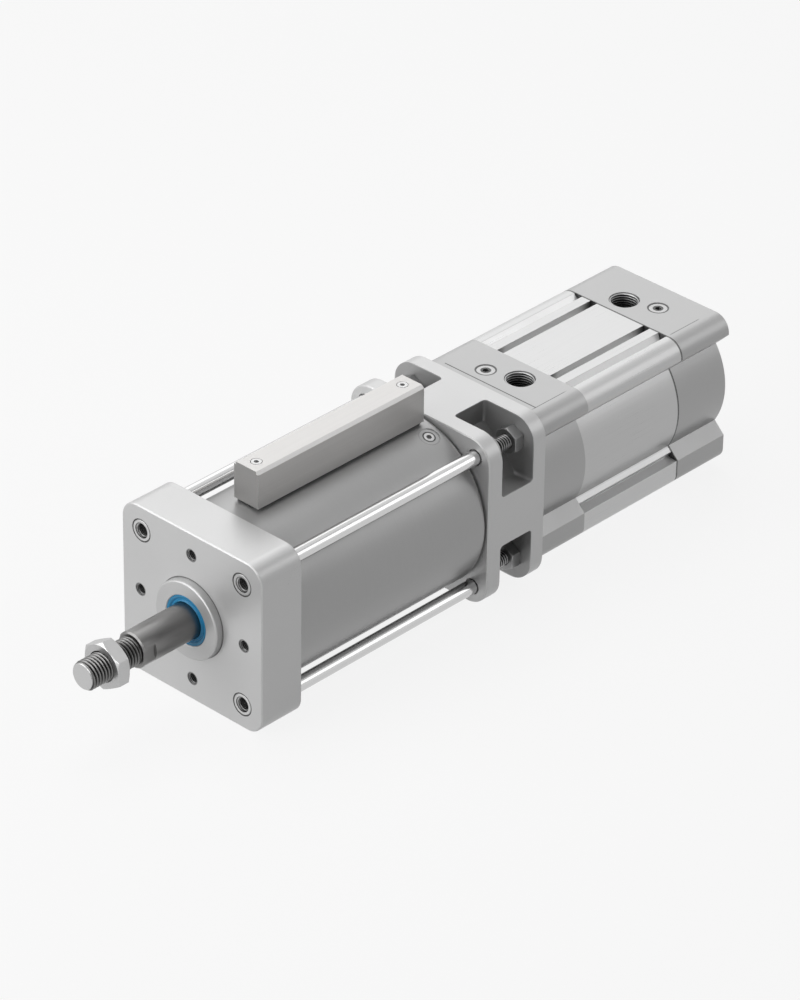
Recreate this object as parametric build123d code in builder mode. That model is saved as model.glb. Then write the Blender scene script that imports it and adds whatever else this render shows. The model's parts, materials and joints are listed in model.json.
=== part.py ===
from build123d import *
from math import cos, radians, sin, sqrt, tan
import os

os.makedirs("parts", exist_ok=True)

# Pneumatic cylinder, 100 mm bore and 50 mm stroke, with a spring-applied holding brake bolted to its front.
# The rod runs along Y and leaves towards -Y. The origin is the middle of the front mounting face, Z is up.

# stations along the rod axis, measured from the front mounting face
brake_cap_length = 35.4
brake_tube_length = 170.6
coupling_length = 53.8
front_cap_length = 48.2
barrel_length = 92.7
rear_cap_length = 47.8
piston_length = 30.0

# brake cap and coupling housing
brake_tube_radius = 61.4
brake_tube_wall = 8.4
brake_tube_setback = 0.6
brake_cap_corner = 13.5
coupling_corner = 17.5
tube_end_rounding = 4.5
spigot_length = 11.6
coupling_spigot = 6.0
mount_spacing = 89.0
mount_thread_radius = 5.0
sleeve_radius = 7.5
sleeve_length = 20.0
face_circle_radius = 46.0
face_hole_radius = 4.0
face_hole_count = 4
face_hole_depth = 16.0
collar_radius = 27.5
collar_length = 5.5
collar_edge = 0.5
cartridge_radius = 24.0
cartridge_depth = 20.0
edge_break = 0.8

# coupling housing windows and the tie rods
plate_thickness = 12.0
web_half_width = 18.5
window_diagonal = 65.0
window_rounding = 3.0
tie_rod_radius = 5.0
tie_rod_clearance = 2.9
tie_rod_thread = 13.0
tie_boss_radius = 10.0
tie_boss_height = 2.0
stud_radius = 5.0
stud_projection = 9.0
stud_engagement = 14.0
nut_across_flats = 17.0
nut_height = 8.0
thread_play = 0.2

# piston rod and its lock nut
rod_radius = 12.5
rod_projection = 52.5
rod_thread_radius = 10.0
rod_thread_length = 41.5
rod_tip_chamfer = 1.0
flat_across = 22.0
flat_length = 10.0
lock_nut_across = 30.0
lock_nut_height = 10.0
lock_nut_thread_radius = 9.7
lock_nut_from_shoulder = 15.5
lock_nut_bevel_height = 1.2
lock_nut_bevel_width = 2.4

# cylinder section
section_side = 110.0
section_top_corner = 12.0
section_low_corner = 8.0
barrel_radius = 54.2
bore_radius = 50.0
upper_flank_height = 42.0
lower_ridge_height = 36.0
groove_depth = 5.3
groove_inner_x = 34.0
groove_width = 7.0
groove_floor_step = 2.0
slot_inner_x = 20.6
slot_width = 5.8
slot_depth = 7.0
side_groove_width = 7.4
side_groove_depth = 4.6
side_groove_step = 1.2
cylinder_spigot = 6.0

# ports and cushioning
port_radius = 10.48
port_depth = 16.0
port_duct_radius = 5.0
front_port_x, front_port_y = 9.5, 31.4
rear_port_x, rear_port_y = -11.0, 16.3
cushion_screw_radius = 6.3
cushion_screw_head = 7.0
cushion_needle_radius = 4.0
cushion_screw_length = 30.0
cushion_socket_across = 4.0
cushion_socket_depth = 4.0
front_screw_x, front_screw_y = -14.2, 24.2
rear_screw_x, rear_screw_y = 12.2, 24.2
cushion_bore_radius = 18.0
cushion_sleeve_radius = 17.5
cushion_sleeve_length = 22.0
cushion_bore_depth = 24.3

# air bar on top of the brake tube
bar_width = 21.4
bar_height = 26.8
bar_from_cap = 12.9
bar_from_coupling = 7.7
bar_chamfer = 2.0
bar_screw_inset = 9.0
bar_screw_head_radius = 3.5
bar_screw_head_height = 4.0
bar_screw_radius = 2.0
bar_screw_grip = 5.0
bar_screw_socket_across = 3.0
bar_screw_socket_depth = 2.0
gasket_thickness = 2.0
gasket_inset = 1.6
seat_depth = 0.6
release_port_radius = 6.58
release_port_depth = 11.5
release_duct_radius = 2.5
plug_angle = 19.4
plug_from_tube_end = 12.5
plug_radius = 3.5
plug_spotface_radius = 7.0
plug_depth = 6.0
plug_socket_across = 3.5
plug_socket_depth = 3.0

# brake mechanism
brake_travel = 4.0
taper_angle = 8.0
taper_clearance = 0.1
taper_front_radius = 24.0
jaw_length = 40.0
jaw_gap_angle = 6.0
jaw_count = 3
first_jaw_angle = -90.0
disc_count = 10
disc_thickness = 3.0
disc_rise = 1.9
disc_clearance = 0.1
disc_inner_radius = 38.0
disc_play = 1.5
brake_piston_length = 25.0
nose_radius = 37.5
nose_wall = 7.0
nose_reserve = 10.1
taper_sleeve_radius = 36.0
chamber_gap = 2.0
wear_reserve = 2.0
insert_mouth = 48.0

# sliding parts, seals and clearances
run_clearance = 0.05
seat_clearance = 0.02
rod_passage_radius = 14.0
seal_height = 5.0
seal_depth = 3.5
guide_height = 8.0
guide_depth = 2.5
ring_height = 3.0
ring_depth = 2.4
bush_wall = 2.5
wiper_radius = 17.5
wiper_length = 8.0
piston_relief = 0.3
rod_spigot_radius = 9.0
end_gap = 0.35
spreader_wall = 2.0
spreader_height = 4.0
ring_inset = 4.0
screw_play = 0.4
screw_recess = 0.3
wiper_lip = 1.6
wiper_face = 0.4
tie_entry = 0.8
tie_entry_depth = 2.0
sleeve_thread_depth = 16.0
cap_screw_radius = 4.4
cap_screw_grip = 22.0
rod_seal_inset = 3.0
rod_seal_length = 7.0
rod_seal_radius = 18.0
rod_seal_land = 3.0
rear_recess_depth = 4.0
piston_land = 2.0
magnet_height = 4.5
cushion_lead = 1.0
cushion_lead_length = 2.0

# stations worked out from the lengths above
brake_tube_front = brake_cap_length
coupling_front = brake_tube_front + brake_tube_length
front_cap_front = coupling_front + coupling_length
barrel_front = front_cap_front + front_cap_length
rear_cap_front = barrel_front + barrel_length
cylinder_rear = rear_cap_front + rear_cap_length
half_square = brake_tube_radius + brake_tube_setback
brake_square = 2 * half_square
brake_bore_radius = brake_tube_radius - brake_tube_wall
tie_rod_spacing = sqrt(2) * (brake_tube_radius + tie_rod_clearance + tie_rod_radius)
half_section = section_side / 2
spring_front = brake_cap_length + spigot_length
brake_piston_front = spring_front + disc_count * (disc_thickness + disc_rise + disc_clearance) + disc_clearance
brake_piston_rear = brake_piston_front + brake_piston_length
insert_front = brake_piston_rear + chamber_gap
insert_rear = coupling_front - coupling_spigot
jaw_seat = insert_front + insert_mouth
jaw_front = jaw_seat - jaw_length
taper_front = jaw_front - wear_reserve
taper_rear = jaw_seat - wear_reserve
taper_slope = tan(radians(taper_angle))
piston_rear = rear_cap_front - cylinder_spigot - end_gap
piston_front = piston_rear - piston_length
window_front = coupling_front + plate_thickness
window_rear = front_cap_front - plate_thickness
bar_front = brake_tube_front + bar_from_cap
bar_rear = coupling_front - bar_from_coupling
bar_length = bar_rear - bar_front
seat_height = brake_tube_radius - seat_depth
bar_bottom = seat_height + gasket_thickness
bar_top = bar_bottom + bar_height
release_station = brake_piston_rear + chamber_gap / 2


def facing_front(station):
    """section plane across the rod axis, seen from the rod end"""
    return Plane.XZ.offset(-station)


def turn(outline, mode=Mode.ADD):
    """turn an outline of (radius, station) points about the rod axis"""
    with BuildSketch(Plane.XY) as section:
        with BuildLine():
            Polyline(*outline, close=True)
        make_face()
    revolve(section.sketch, axis=Axis.Y, mode=mode)


def ring(outer, inner, front, rear, mode=Mode.ADD):
    """plain ring between two stations"""
    turn([(inner, front), (outer, front), (outer, rear), (inner, rear)], mode)


def coaxial(radius, front, rear, mode=Mode.ADD):
    """round bar or passage on the rod axis between two stations"""
    with BuildSketch(facing_front(rear)) as mouth:
        Circle(radius)
    extrude(mouth.sketch, amount=rear - front, mode=mode)


def bore(radius, front, rear):
    """round passage on the rod axis between two stations"""
    coaxial(radius, front, rear, Mode.SUBTRACT)


def corner_rods(radius, spacing, front, rear, mode=Mode.ADD):
    """four round rods or holes on a square pattern between two stations"""
    with BuildSketch(facing_front(rear)) as rods:
        with GridLocations(spacing, spacing, 2, 2):
            Circle(radius)
    extrude(rods.sketch, amount=rear - front, mode=mode)


def square_block(corner, front, rear):
    """rounded square block of the brake end"""
    with BuildSketch(facing_front(rear)) as block:
        RectangleRounded(brake_square, brake_square, corner)
    extrude(block.sketch, amount=rear - front)


def barrel_meets(flank):
    """point where the line x + z = flank crosses the round barrel, nearer the side"""
    middle = flank / 2
    reach = sqrt(barrel_radius**2 / 2 - middle**2)
    return middle + reach, middle - reach


def cylinder_section(front, rear):
    """outline of the caps and barrel: round sides between four corner lobes"""
    upper = half_section - upper_flank_height
    lower = half_section - lower_ridge_height
    upper_x, upper_z = barrel_meets(upper)
    lower_x, lower_z = barrel_meets(lower)
    top_start = half_section - section_top_corner
    low_start = half_section - section_low_corner
    with BuildSketch(facing_front(rear)) as section:
        with BuildLine():
            Line((0, half_section), (top_start, half_section))
            RadiusArc((top_start, half_section), (half_section, top_start), section_top_corner)
            Line((half_section, top_start), (half_section, upper_flank_height))
            Line((half_section, upper_flank_height), (upper_x, -upper_z))
            ThreePointArc((upper_x, -upper_z), (barrel_radius, 0), (lower_x, lower_z))
            Line((lower_x, lower_z), (half_section, -lower_ridge_height))
            Line((half_section, -lower_ridge_height), (half_section, -low_start))
            RadiusArc((half_section, -low_start), (low_start, -half_section), section_low_corner)
            Line((low_start, -half_section), (lower_ridge_height, -half_section))
            Line((lower_ridge_height, -half_section), (-lower_z, -lower_x))
            RadiusArc((-lower_z, -lower_x), (0, -barrel_radius), barrel_radius)
            mirror(about=Plane.YZ)
        make_face()
    extrude(section.sketch, amount=rear - front)


def collar_screws(thread_radius, head_end, shank_end, toward):
    """four cap screws with a thread in the head; toward is +1 when the shank points to the rear"""
    head_back = head_end + toward * sleeve_length
    head = sorted((head_end, head_back))
    shank = sorted((head_back, shank_end))
    thread = sorted((head_end, head_end + toward * sleeve_thread_depth))
    corner_rods(sleeve_radius - seat_clearance, mount_spacing, *head)
    corner_rods(cap_screw_radius, mount_spacing, *shank)
    corner_rods(thread_radius, mount_spacing, *thread, mode=Mode.SUBTRACT)


def cushion_screw(x, station):
    """needle screw let into the top of a cap, with a hexagon socket"""
    head_top = half_section - screw_recess
    with BuildSketch(Plane.XY.offset(head_top)) as head:
        with Locations((x, station)):
            Circle(cushion_screw_radius)
    extrude(head.sketch, amount=-cushion_screw_head)
    with BuildSketch(Plane.XY.offset(head_top - cushion_screw_head)) as needle:
        with Locations((x, station)):
            Circle(cushion_needle_radius)
    extrude(needle.sketch, amount=cushion_screw_head - cushion_screw_length)
    with BuildSketch(Plane.XY.offset(head_top)) as socket:
        with Locations((x, station)):
            RegularPolygon(cushion_socket_across / 2, 6, major_radius=False)
    extrude(socket.sketch, amount=-cushion_socket_depth, mode=Mode.SUBTRACT)


def top_features(port_x, port_station, screw_x, screw_station):
    """supply port with its duct and the cushion screw's stepped hole, sunk from the top face"""
    duct_depth = half_section - cushion_bore_radius + port_duct_radius
    screw_depth = cushion_screw_length + screw_recess + end_gap
    with Locations((port_x, port_station, half_section)):
        CounterBoreHole(port_duct_radius, port_radius, port_depth, duct_depth)
    with Locations((screw_x, screw_station, half_section)):
        CounterBoreHole(
            cushion_needle_radius + run_clearance,
            cushion_screw_radius + run_clearance,
            cushion_screw_head + screw_recess,
            screw_depth,
        )


# brake cap: mounting face, spigot and the holes of its sleeves, tie rods and bearing cartridge
wiper_front = -collar_length
wiper_rear = wiper_front + wiper_length
bush_seat = rod_radius + run_clearance + bush_wall + seat_clearance
with BuildPart() as front_bearing_cap:
    square_block(brake_cap_corner, 0, brake_cap_length)
    chamfer(faces().filter_by(Axis.Y).edges(), edge_break)
    coaxial(brake_bore_radius - seat_clearance, brake_cap_length, spring_front)
    bore(cartridge_radius + seat_clearance, 0, cartridge_depth)
    bore(bush_seat, cartridge_depth, brake_cap_length)
    bore(rod_passage_radius, brake_cap_length, spring_front)
    corner_rods(sleeve_radius, mount_spacing, 0, sleeve_length, Mode.SUBTRACT)
    corner_rods(
        tie_rod_radius + seat_clearance,
        tie_rod_spacing,
        brake_cap_length - tie_rod_thread,
        brake_cap_length,
        Mode.SUBTRACT,
    )
    with BuildSketch(facing_front(face_hole_depth)) as face_holes:
        with PolarLocations(face_circle_radius, face_hole_count):
            Circle(face_hole_radius)
    extrude(amount=face_hole_depth, mode=Mode.SUBTRACT)
    cap_ring_front = brake_cap_length + ring_inset
    ring(
        brake_bore_radius,
        brake_bore_radius - ring_depth,
        cap_ring_front,
        cap_ring_front + ring_height,
        Mode.SUBTRACT,
    )

# bearing cartridge: its front end is the centring collar, and it carries the wiper and the guide bush
with BuildPart() as bearing_cartridge:
    coaxial(collar_radius, -collar_length, 0)
    coaxial(cartridge_radius, 0, cartridge_depth)
    chamfer(edges().filter_by(GeomType.CIRCLE).group_by(Axis.Y)[0], collar_edge)
    bore(wiper_radius, wiper_front, wiper_rear)
    bore(bush_seat, wiper_rear, cartridge_depth)

# threaded sleeves in the corners of the mounting face
with BuildPart() as mounting_sleeves:
    corner_rods(sleeve_radius - seat_clearance, mount_spacing, 0, sleeve_length)
    corner_rods(mount_thread_radius, mount_spacing, 0, sleeve_length, Mode.SUBTRACT)

# wiper in the collar, with its lip towards the rod
with BuildPart() as rod_wiper_seal:
    lip = rod_radius + run_clearance
    turn(
        [
            (lip, wiper_front + wiper_lip),
            (lip + wiper_lip, wiper_front + wiper_face),
            (wiper_radius - seat_clearance, wiper_front + wiper_face),
            (wiper_radius - seat_clearance, wiper_rear),
            (lip, wiper_rear),
        ]
    )

# plain bush that guides the rod in the brake cap
with BuildPart() as front_guide_bush:
    bush_bore = rod_radius + run_clearance
    ring(bush_bore + bush_wall, bush_bore, wiper_rear, brake_cap_length)

# brake tube with the milled seat of the air bar, its duct and the side plug's spot face
plug_turn = radians(plug_angle)
plug_station = coupling_front - plug_from_tube_end
plug_direction = Vector(sin(plug_turn), 0, cos(plug_turn))
plug_seat = brake_tube_radius - seat_depth
plug_plane = Plane(origin=plug_direction * plug_seat + Vector(0, plug_station, 0), z_dir=plug_direction)
gasket_width = bar_width - 2 * gasket_inset
gasket_length = bar_length - 2 * gasket_inset
bar_middle = bar_front + bar_length / 2
bar_screw_stations = [bar_front + bar_screw_inset, bar_rear - bar_screw_inset]
with BuildPart() as brake_tube:
    ring(brake_tube_radius, brake_bore_radius, brake_tube_front, coupling_front)
    rear_rim = edges().filter_by(GeomType.CIRCLE).group_by(Axis.Y)[-1].sort_by(SortBy.RADIUS)[-1]
    fillet(rear_rim, tube_end_rounding)
    with BuildSketch(Plane.XY.offset(seat_height)) as bar_seat:
        with Locations((0, bar_middle)):
            Rectangle(bar_width, bar_length)
    extrude(amount=2 * seat_depth, mode=Mode.SUBTRACT)
    with Locations((0, release_station, seat_height)):
        Hole(release_duct_radius, brake_tube_radius - brake_bore_radius + seat_depth)
    with Locations(*[(0, station, seat_height) for station in bar_screw_stations]):
        Hole(bar_screw_radius, bar_screw_grip)
    with BuildSketch(plug_plane) as spot_face:
        Circle(plug_spotface_radius)
    extrude(amount=2 * seat_depth, mode=Mode.SUBTRACT)
    with Locations(plug_plane):
        Hole(plug_radius, plug_depth)

# socket plug in the side of the tube
with BuildPart() as tube_plug:
    with BuildSketch(plug_plane) as plug_end:
        Circle(plug_radius - seat_clearance)
    extrude(amount=-plug_depth)
    with BuildSketch(plug_plane) as plug_socket:
        RegularPolygon(plug_socket_across / 2, 6, major_radius=False)
    extrude(amount=-plug_socket_depth, mode=Mode.SUBTRACT)

# gasket strip between the tube and the air bar
with BuildPart() as channel_bar_gasket:
    with BuildSketch(Plane.XY.offset(seat_height)) as strip:
        with Locations((0, bar_middle)):
            Rectangle(gasket_width, gasket_length)
        with Locations((0, release_station)):
            Circle(release_duct_radius, mode=Mode.SUBTRACT)
        with Locations(*[(0, station) for station in bar_screw_stations]):
            Circle(bar_screw_radius + screw_play, mode=Mode.SUBTRACT)
    extrude(amount=gasket_thickness)

# air bar with the brake's release port on its left side
bar_mid_height = (bar_bottom + bar_top) / 2
with BuildPart() as channel_bar:
    with BuildSketch(Plane.XY.offset(bar_bottom)) as bar_plan:
        with Locations((0, bar_middle)):
            Rectangle(bar_width, bar_length)
    extrude(amount=bar_height)
    chamfer(edges().filter_by(Axis.Y).group_by(Axis.Z)[-1], bar_chamfer)
    with Locations(*[(0, station, bar_top) for station in bar_screw_stations]):
        CounterBoreHole(
            bar_screw_radius + screw_play,
            bar_screw_head_radius + screw_play,
            bar_screw_head_height,
            bar_height,
        )
    with BuildSketch(Plane.YZ.offset(-bar_width / 2)) as port_mouth:
        with Locations((release_station, bar_mid_height)):
            Circle(release_port_radius)
    extrude(amount=release_port_depth, mode=Mode.SUBTRACT)
    with BuildSketch(Plane.XY.offset(bar_bottom)) as duct_mouth:
        with Locations((0, release_station)):
            Circle(release_duct_radius)
    extrude(amount=bar_height / 2, mode=Mode.SUBTRACT)

# socket screws of the air bar
with BuildPart() as channel_bar_screws:
    shank_length = bar_top - bar_screw_head_height - seat_height + bar_screw_grip
    for station in bar_screw_stations:
        with BuildSketch(Plane.XY.offset(bar_top)) as screw_head:
            with Locations((0, station)):
                Circle(bar_screw_head_radius)
        extrude(amount=-bar_screw_head_height)
        with BuildSketch(Plane.XY.offset(bar_top - bar_screw_head_height)) as screw_shank:
            with Locations((0, station)):
                Circle(bar_screw_radius - seat_clearance)
        extrude(amount=-shank_length)
        with BuildSketch(Plane.XY.offset(bar_top)) as screw_socket:
            with Locations((0, station)):
                RegularPolygon(bar_screw_socket_across / 2, 6, major_radius=False)
        extrude(amount=-bar_screw_socket_depth, mode=Mode.SUBTRACT)

# cutter of one window of the coupling housing: a corner pocket with a slanted back
outside = half_square + coupling_spigot
with BuildPart() as window_cutter:
    with BuildSketch(facing_front(window_rear)) as pocket:
        Polygon(
            (web_half_width, outside),
            (web_half_width, window_diagonal - web_half_width),
            (window_diagonal - web_half_width, web_half_width),
            (outside, web_half_width),
            (outside, outside),
            align=None,
        )
    extrude(amount=window_rear - window_front)
    inner_upright = edges().filter_by(Axis.Z).group_by(Axis.X)[0]
    inner_level = edges().filter_by(Axis.X).group_by(Axis.Z)[0]
    fillet(inner_upright + inner_level, window_rounding)

# coupling housing: two plates joined by a cross-shaped core, open at its four corners
recess_depth = collar_length + end_gap
with BuildPart() as coupling_housing:
    square_block(coupling_corner, coupling_front, front_cap_front)
    chamfer(faces().filter_by(Axis.Y).edges(), edge_break)
    add(window_cutter.part, mode=Mode.SUBTRACT)
    mirror(window_cutter.part, about=Plane.YZ, mode=Mode.SUBTRACT)
    mirror(window_cutter.part, about=Plane.XY, mode=Mode.SUBTRACT)
    mirror(mirror(window_cutter.part, about=Plane.YZ, mode=Mode.PRIVATE), about=Plane.XY, mode=Mode.SUBTRACT)
    corner_rods(tie_boss_radius, tie_rod_spacing, window_front, window_front + tie_boss_height)
    corner_rods(
        tie_rod_radius + seat_clearance,
        tie_rod_spacing,
        coupling_front,
        window_front + tie_boss_height,
        Mode.SUBTRACT,
    )
    corner_rods(
        tie_rod_radius + tie_entry,
        tie_rod_spacing,
        coupling_front,
        coupling_front + tie_entry_depth,
        Mode.SUBTRACT,
    )
    corner_rods(stud_radius + screw_play, mount_spacing, window_rear, front_cap_front, Mode.SUBTRACT)
    coaxial(brake_bore_radius - seat_clearance, insert_rear, coupling_front)
    bore(rod_passage_radius, insert_rear, front_cap_front)
    bore(collar_radius + seat_clearance, front_cap_front - recess_depth, front_cap_front)
    coupling_ring_front = insert_rear + (coupling_spigot - ring_height) / 2
    ring(
        brake_bore_radius,
        brake_bore_radius - ring_depth,
        coupling_ring_front,
        coupling_ring_front + ring_height,
        Mode.SUBTRACT,
    )

# four tie rods between the brake cap and the front plate of the coupling housing
tie_rods = {}
for count, (side, level) in enumerate([(1, 1), (-1, 1), (-1, -1), (1, -1)], start=1):
    with BuildPart() as tie_rod:
        with BuildSketch(facing_front(window_front + tie_boss_height)) as tie_section:
            with Locations((side * tie_rod_spacing / 2, level * tie_rod_spacing / 2)):
                Circle(tie_rod_radius)
        extrude(amount=window_front + tie_boss_height - brake_cap_length + tie_rod_thread)
        chamfer(edges().filter_by(GeomType.CIRCLE), edge_break)
    tie_rods[f"tie_rod_{count}"] = tie_rod

# studs and nuts that hold the cylinder to the coupling housing
stud_front = window_rear - nut_height - stud_projection
with BuildPart() as coupling_studs:
    corner_rods(stud_radius - seat_clearance, mount_spacing, stud_front, front_cap_front + stud_engagement)
    chamfer(edges().filter_by(GeomType.CIRCLE).group_by(Axis.Y)[0], edge_break)

with BuildPart() as coupling_nuts:
    with BuildSketch(facing_front(window_rear)) as nut_sections:
        with GridLocations(mount_spacing, mount_spacing, 2, 2):
            RegularPolygon(nut_across_flats / 2, 6, major_radius=False, rotation=30)
            Circle(stud_radius + thread_play, mode=Mode.SUBTRACT)
    extrude(amount=nut_height)

# stack of disc springs that presses the brake on
disc_outer_radius = brake_bore_radius - disc_play
disc_pitch = disc_thickness + disc_rise + disc_clearance
with BuildPart() as disc_springs:
    for count in range(disc_count):
        base = spring_front + disc_clearance + count * disc_pitch
        inner_lift, outer_lift = (0, disc_rise) if count % 2 == 0 else (disc_rise, 0)
        turn(
            [
                (disc_inner_radius, base + inner_lift),
                (disc_outer_radius, base + outer_lift),
                (disc_outer_radius, base + outer_lift + disc_thickness),
                (disc_inner_radius, base + inner_lift + disc_thickness),
            ]
        )

# brake piston: the sealed disc that the springs push on
brake_disc_radius = brake_bore_radius - run_clearance
brake_guide_front = brake_piston_front + ring_inset
brake_seal_rear = brake_piston_rear - ring_inset
with BuildPart() as brake_piston:
    ring(brake_disc_radius, rod_passage_radius, brake_piston_front, brake_piston_rear)
    ring(
        brake_bore_radius,
        brake_disc_radius - guide_depth,
        brake_guide_front,
        brake_guide_front + guide_height,
        Mode.SUBTRACT,
    )
    ring(
        brake_bore_radius,
        brake_disc_radius - seal_depth,
        brake_seal_rear - seal_height,
        brake_seal_rear,
        Mode.SUBTRACT,
    )

# tube on the piston's front that centres the springs
nose_front = spring_front + brake_travel + nose_reserve
with BuildPart() as spring_guide_tube:
    ring(nose_radius, nose_radius - nose_wall, nose_front, brake_piston_front)

# sleeve behind the piston whose taper closes the jaws on the rod
taper_rear_radius = taper_front_radius + (taper_rear - taper_front) * taper_slope
with BuildPart() as taper_sleeve:
    turn(
        [
            (rod_passage_radius, brake_piston_rear),
            (taper_sleeve_radius, brake_piston_rear),
            (taper_sleeve_radius, taper_rear),
            (taper_rear_radius, taper_rear),
            (taper_front_radius, taper_front),
            (rod_passage_radius, taper_front),
        ]
    )

with BuildPart() as brake_piston_guide_ring:
    ring(brake_disc_radius, brake_disc_radius - guide_depth, brake_guide_front, brake_guide_front + guide_height)

with BuildPart() as brake_piston_seal:
    ring(brake_disc_radius, brake_disc_radius - seal_depth, brake_seal_rear - seal_height, brake_seal_rear)

# fixed insert behind the brake piston: closes the air chamber and carries the jaws' thrust
insert_bore = taper_sleeve_radius + run_clearance
insert_seal_front = insert_front + ring_inset
with BuildPart() as clamping_insert:
    coaxial(brake_bore_radius - seat_clearance, insert_front, insert_rear)
    bore(insert_bore, insert_front, jaw_seat)
    bore(rod_passage_radius, jaw_seat, insert_rear)
    ring(
        insert_bore + seal_depth,
        taper_sleeve_radius,
        insert_seal_front,
        insert_seal_front + seal_height,
        Mode.SUBTRACT,
    )
    ring(
        brake_bore_radius,
        brake_bore_radius - ring_depth,
        insert_seal_front,
        insert_seal_front + ring_height,
        Mode.SUBTRACT,
    )

with BuildPart() as insert_sleeve_seal:
    ring(insert_bore + seal_depth, insert_bore, insert_seal_front, insert_seal_front + seal_height)

# rings that seal the brake cap, the insert and the coupling housing in the tube
with BuildPart() as brake_o_rings:
    for station in (cap_ring_front, insert_seal_front, coupling_ring_front):
        ring(brake_bore_radius - seat_clearance, brake_bore_radius - ring_depth, station, station + ring_height)

# clamping jaws: tapered sectors round the rod, grooved inside for the spreader ring
jaw_bore = rod_radius + run_clearance
jaw_front_radius = taper_front_radius + (jaw_front - taper_front) * taper_slope - taper_clearance
jaw_rear_radius = taper_front_radius + (jaw_seat - taper_front) * taper_slope - taper_clearance
spreader_inner = rod_radius + end_gap
spreader_outer = spreader_inner + spreader_wall
spreader_front = jaw_front + spreader_height
jaw_sector = 360 / jaw_count - jaw_gap_angle
jaws = {}
for count in range(jaw_count):
    with BuildPart() as jaw:
        start = first_jaw_angle + count * 360 / jaw_count - jaw_sector / 2
        with BuildSketch(Plane.XY.rotated((0, start, 0))) as jaw_section:
            with BuildLine():
                Polyline(
                    (jaw_bore, jaw_front),
                    (jaw_front_radius, jaw_front),
                    (jaw_rear_radius, jaw_seat),
                    (jaw_bore, jaw_seat),
                    (jaw_bore, spreader_front + spreader_height + end_gap),
                    (spreader_outer + end_gap, spreader_front + spreader_height + end_gap),
                    (spreader_outer + end_gap, spreader_front - end_gap),
                    (jaw_bore, spreader_front - end_gap),
                    close=True,
                )
            make_face()
        revolve(axis=Axis.Y, revolution_arc=jaw_sector)
    jaws[f"clamping_jaw_{count + 1}"] = jaw

with BuildPart() as jaw_spreader_ring:
    ring(spreader_outer, spreader_inner, spreader_front, spreader_front + spreader_height)
    with BuildSketch(facing_front(spreader_front + spreader_height)) as ring_gap:
        with Locations((0, -spreader_outer)):
            Rectangle(spreader_wall, 2 * spreader_wall + end_gap)
    extrude(amount=spreader_height, mode=Mode.SUBTRACT)

# front cap of the cylinder: collar in the coupling housing, rod seal, bush and cushion chamber
front_spigot_rear = barrel_front + cylinder_spigot
front_cushion_front = front_spigot_rear - cushion_bore_depth
rod_seal_front = front_cap_front + rod_seal_inset
rod_seal_rear = rod_seal_front + rod_seal_length
rod_bush_front = rod_seal_rear + rod_seal_land
rod_bush_rear = front_cushion_front
front_cap_port = front_cap_front + front_port_y
front_screw_station = front_cap_front + front_screw_y
with BuildPart() as cylinder_front_cap:
    cylinder_section(front_cap_front, barrel_front)
    coaxial(collar_radius, front_cap_front - collar_length, front_cap_front)
    coaxial(bore_radius - seat_clearance, barrel_front, front_spigot_rear)
    bore(rod_passage_radius, front_cap_front - collar_length, front_cushion_front)
    bore(rod_seal_radius + seat_clearance, rod_seal_front, rod_seal_rear)
    bore(bush_bore + bush_wall + seat_clearance, rod_bush_front, rod_bush_rear)
    bore(cushion_bore_radius, front_cushion_front, front_spigot_rear)
    corner_rods(
        sleeve_radius, mount_spacing, front_cap_front, front_cap_front + sleeve_length, Mode.SUBTRACT
    )
    corner_rods(
        cap_screw_radius + seat_clearance, mount_spacing, front_cap_front, barrel_front, Mode.SUBTRACT
    )
    top_features(front_port_x, front_cap_port, front_screw_x, front_screw_station)
    front_seal_rear = front_spigot_rear - ring_inset / 2
    ring(
        cushion_bore_radius + seal_depth,
        cushion_sleeve_radius,
        front_seal_rear - ring_height,
        front_seal_rear,
        Mode.SUBTRACT,
    )
    front_o_ring = barrel_front + (cylinder_spigot - ring_height) / 2
    ring(bore_radius, bore_radius - ring_depth, front_o_ring, front_o_ring + ring_height, Mode.SUBTRACT)

with BuildPart() as rod_seal:
    ring(rod_seal_radius, rod_radius + run_clearance, rod_seal_front, rod_seal_rear)

with BuildPart() as rod_bearing_bush:
    ring(bush_bore + bush_wall, bush_bore, rod_bush_front, rod_bush_rear)

with BuildPart() as front_cap_screws:
    collar_screws(stud_radius + thread_play, front_cap_front, barrel_front + cap_screw_grip, 1)

# barrel extrusion with its bore, screw channels and sensor grooves
ridge_x, ridge_z = half_section, -lower_ridge_height
slant = sqrt(0.5)
mouth_x, mouth_z = ridge_x - side_groove_width * slant, ridge_z + side_groove_width * slant
floor_x = mouth_x - (side_groove_depth - side_groove_step) * slant
floor_z = mouth_z - (side_groove_depth + side_groove_step) * slant
with BuildPart() as cylinder_profile:
    cylinder_section(barrel_front, rear_cap_front)
    bore(bore_radius, barrel_front, rear_cap_front)
    corner_rods(cap_screw_radius + seat_clearance, mount_spacing, barrel_front, rear_cap_front, Mode.SUBTRACT)
    with BuildSketch(facing_front(rear_cap_front)) as grooves:
        with Locations(
            *[(side * (slot_inner_x + slot_width / 2), half_section - slot_depth / 2) for side in (-1, 1)]
        ):
            Rectangle(slot_width, slot_depth)
        for side in (-1, 1):
            Polygon(
                (side * groove_inner_x, half_section),
                (side * (groove_inner_x + groove_floor_step), half_section - groove_depth),
                (side * (groove_inner_x + groove_width), half_section),
                align=None,
            )
            Polygon(
                (side * mouth_x, mouth_z),
                (side * floor_x, floor_z),
                (side * ridge_x, ridge_z),
                align=None,
            )
    extrude(amount=barrel_length, mode=Mode.SUBTRACT)

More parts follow.
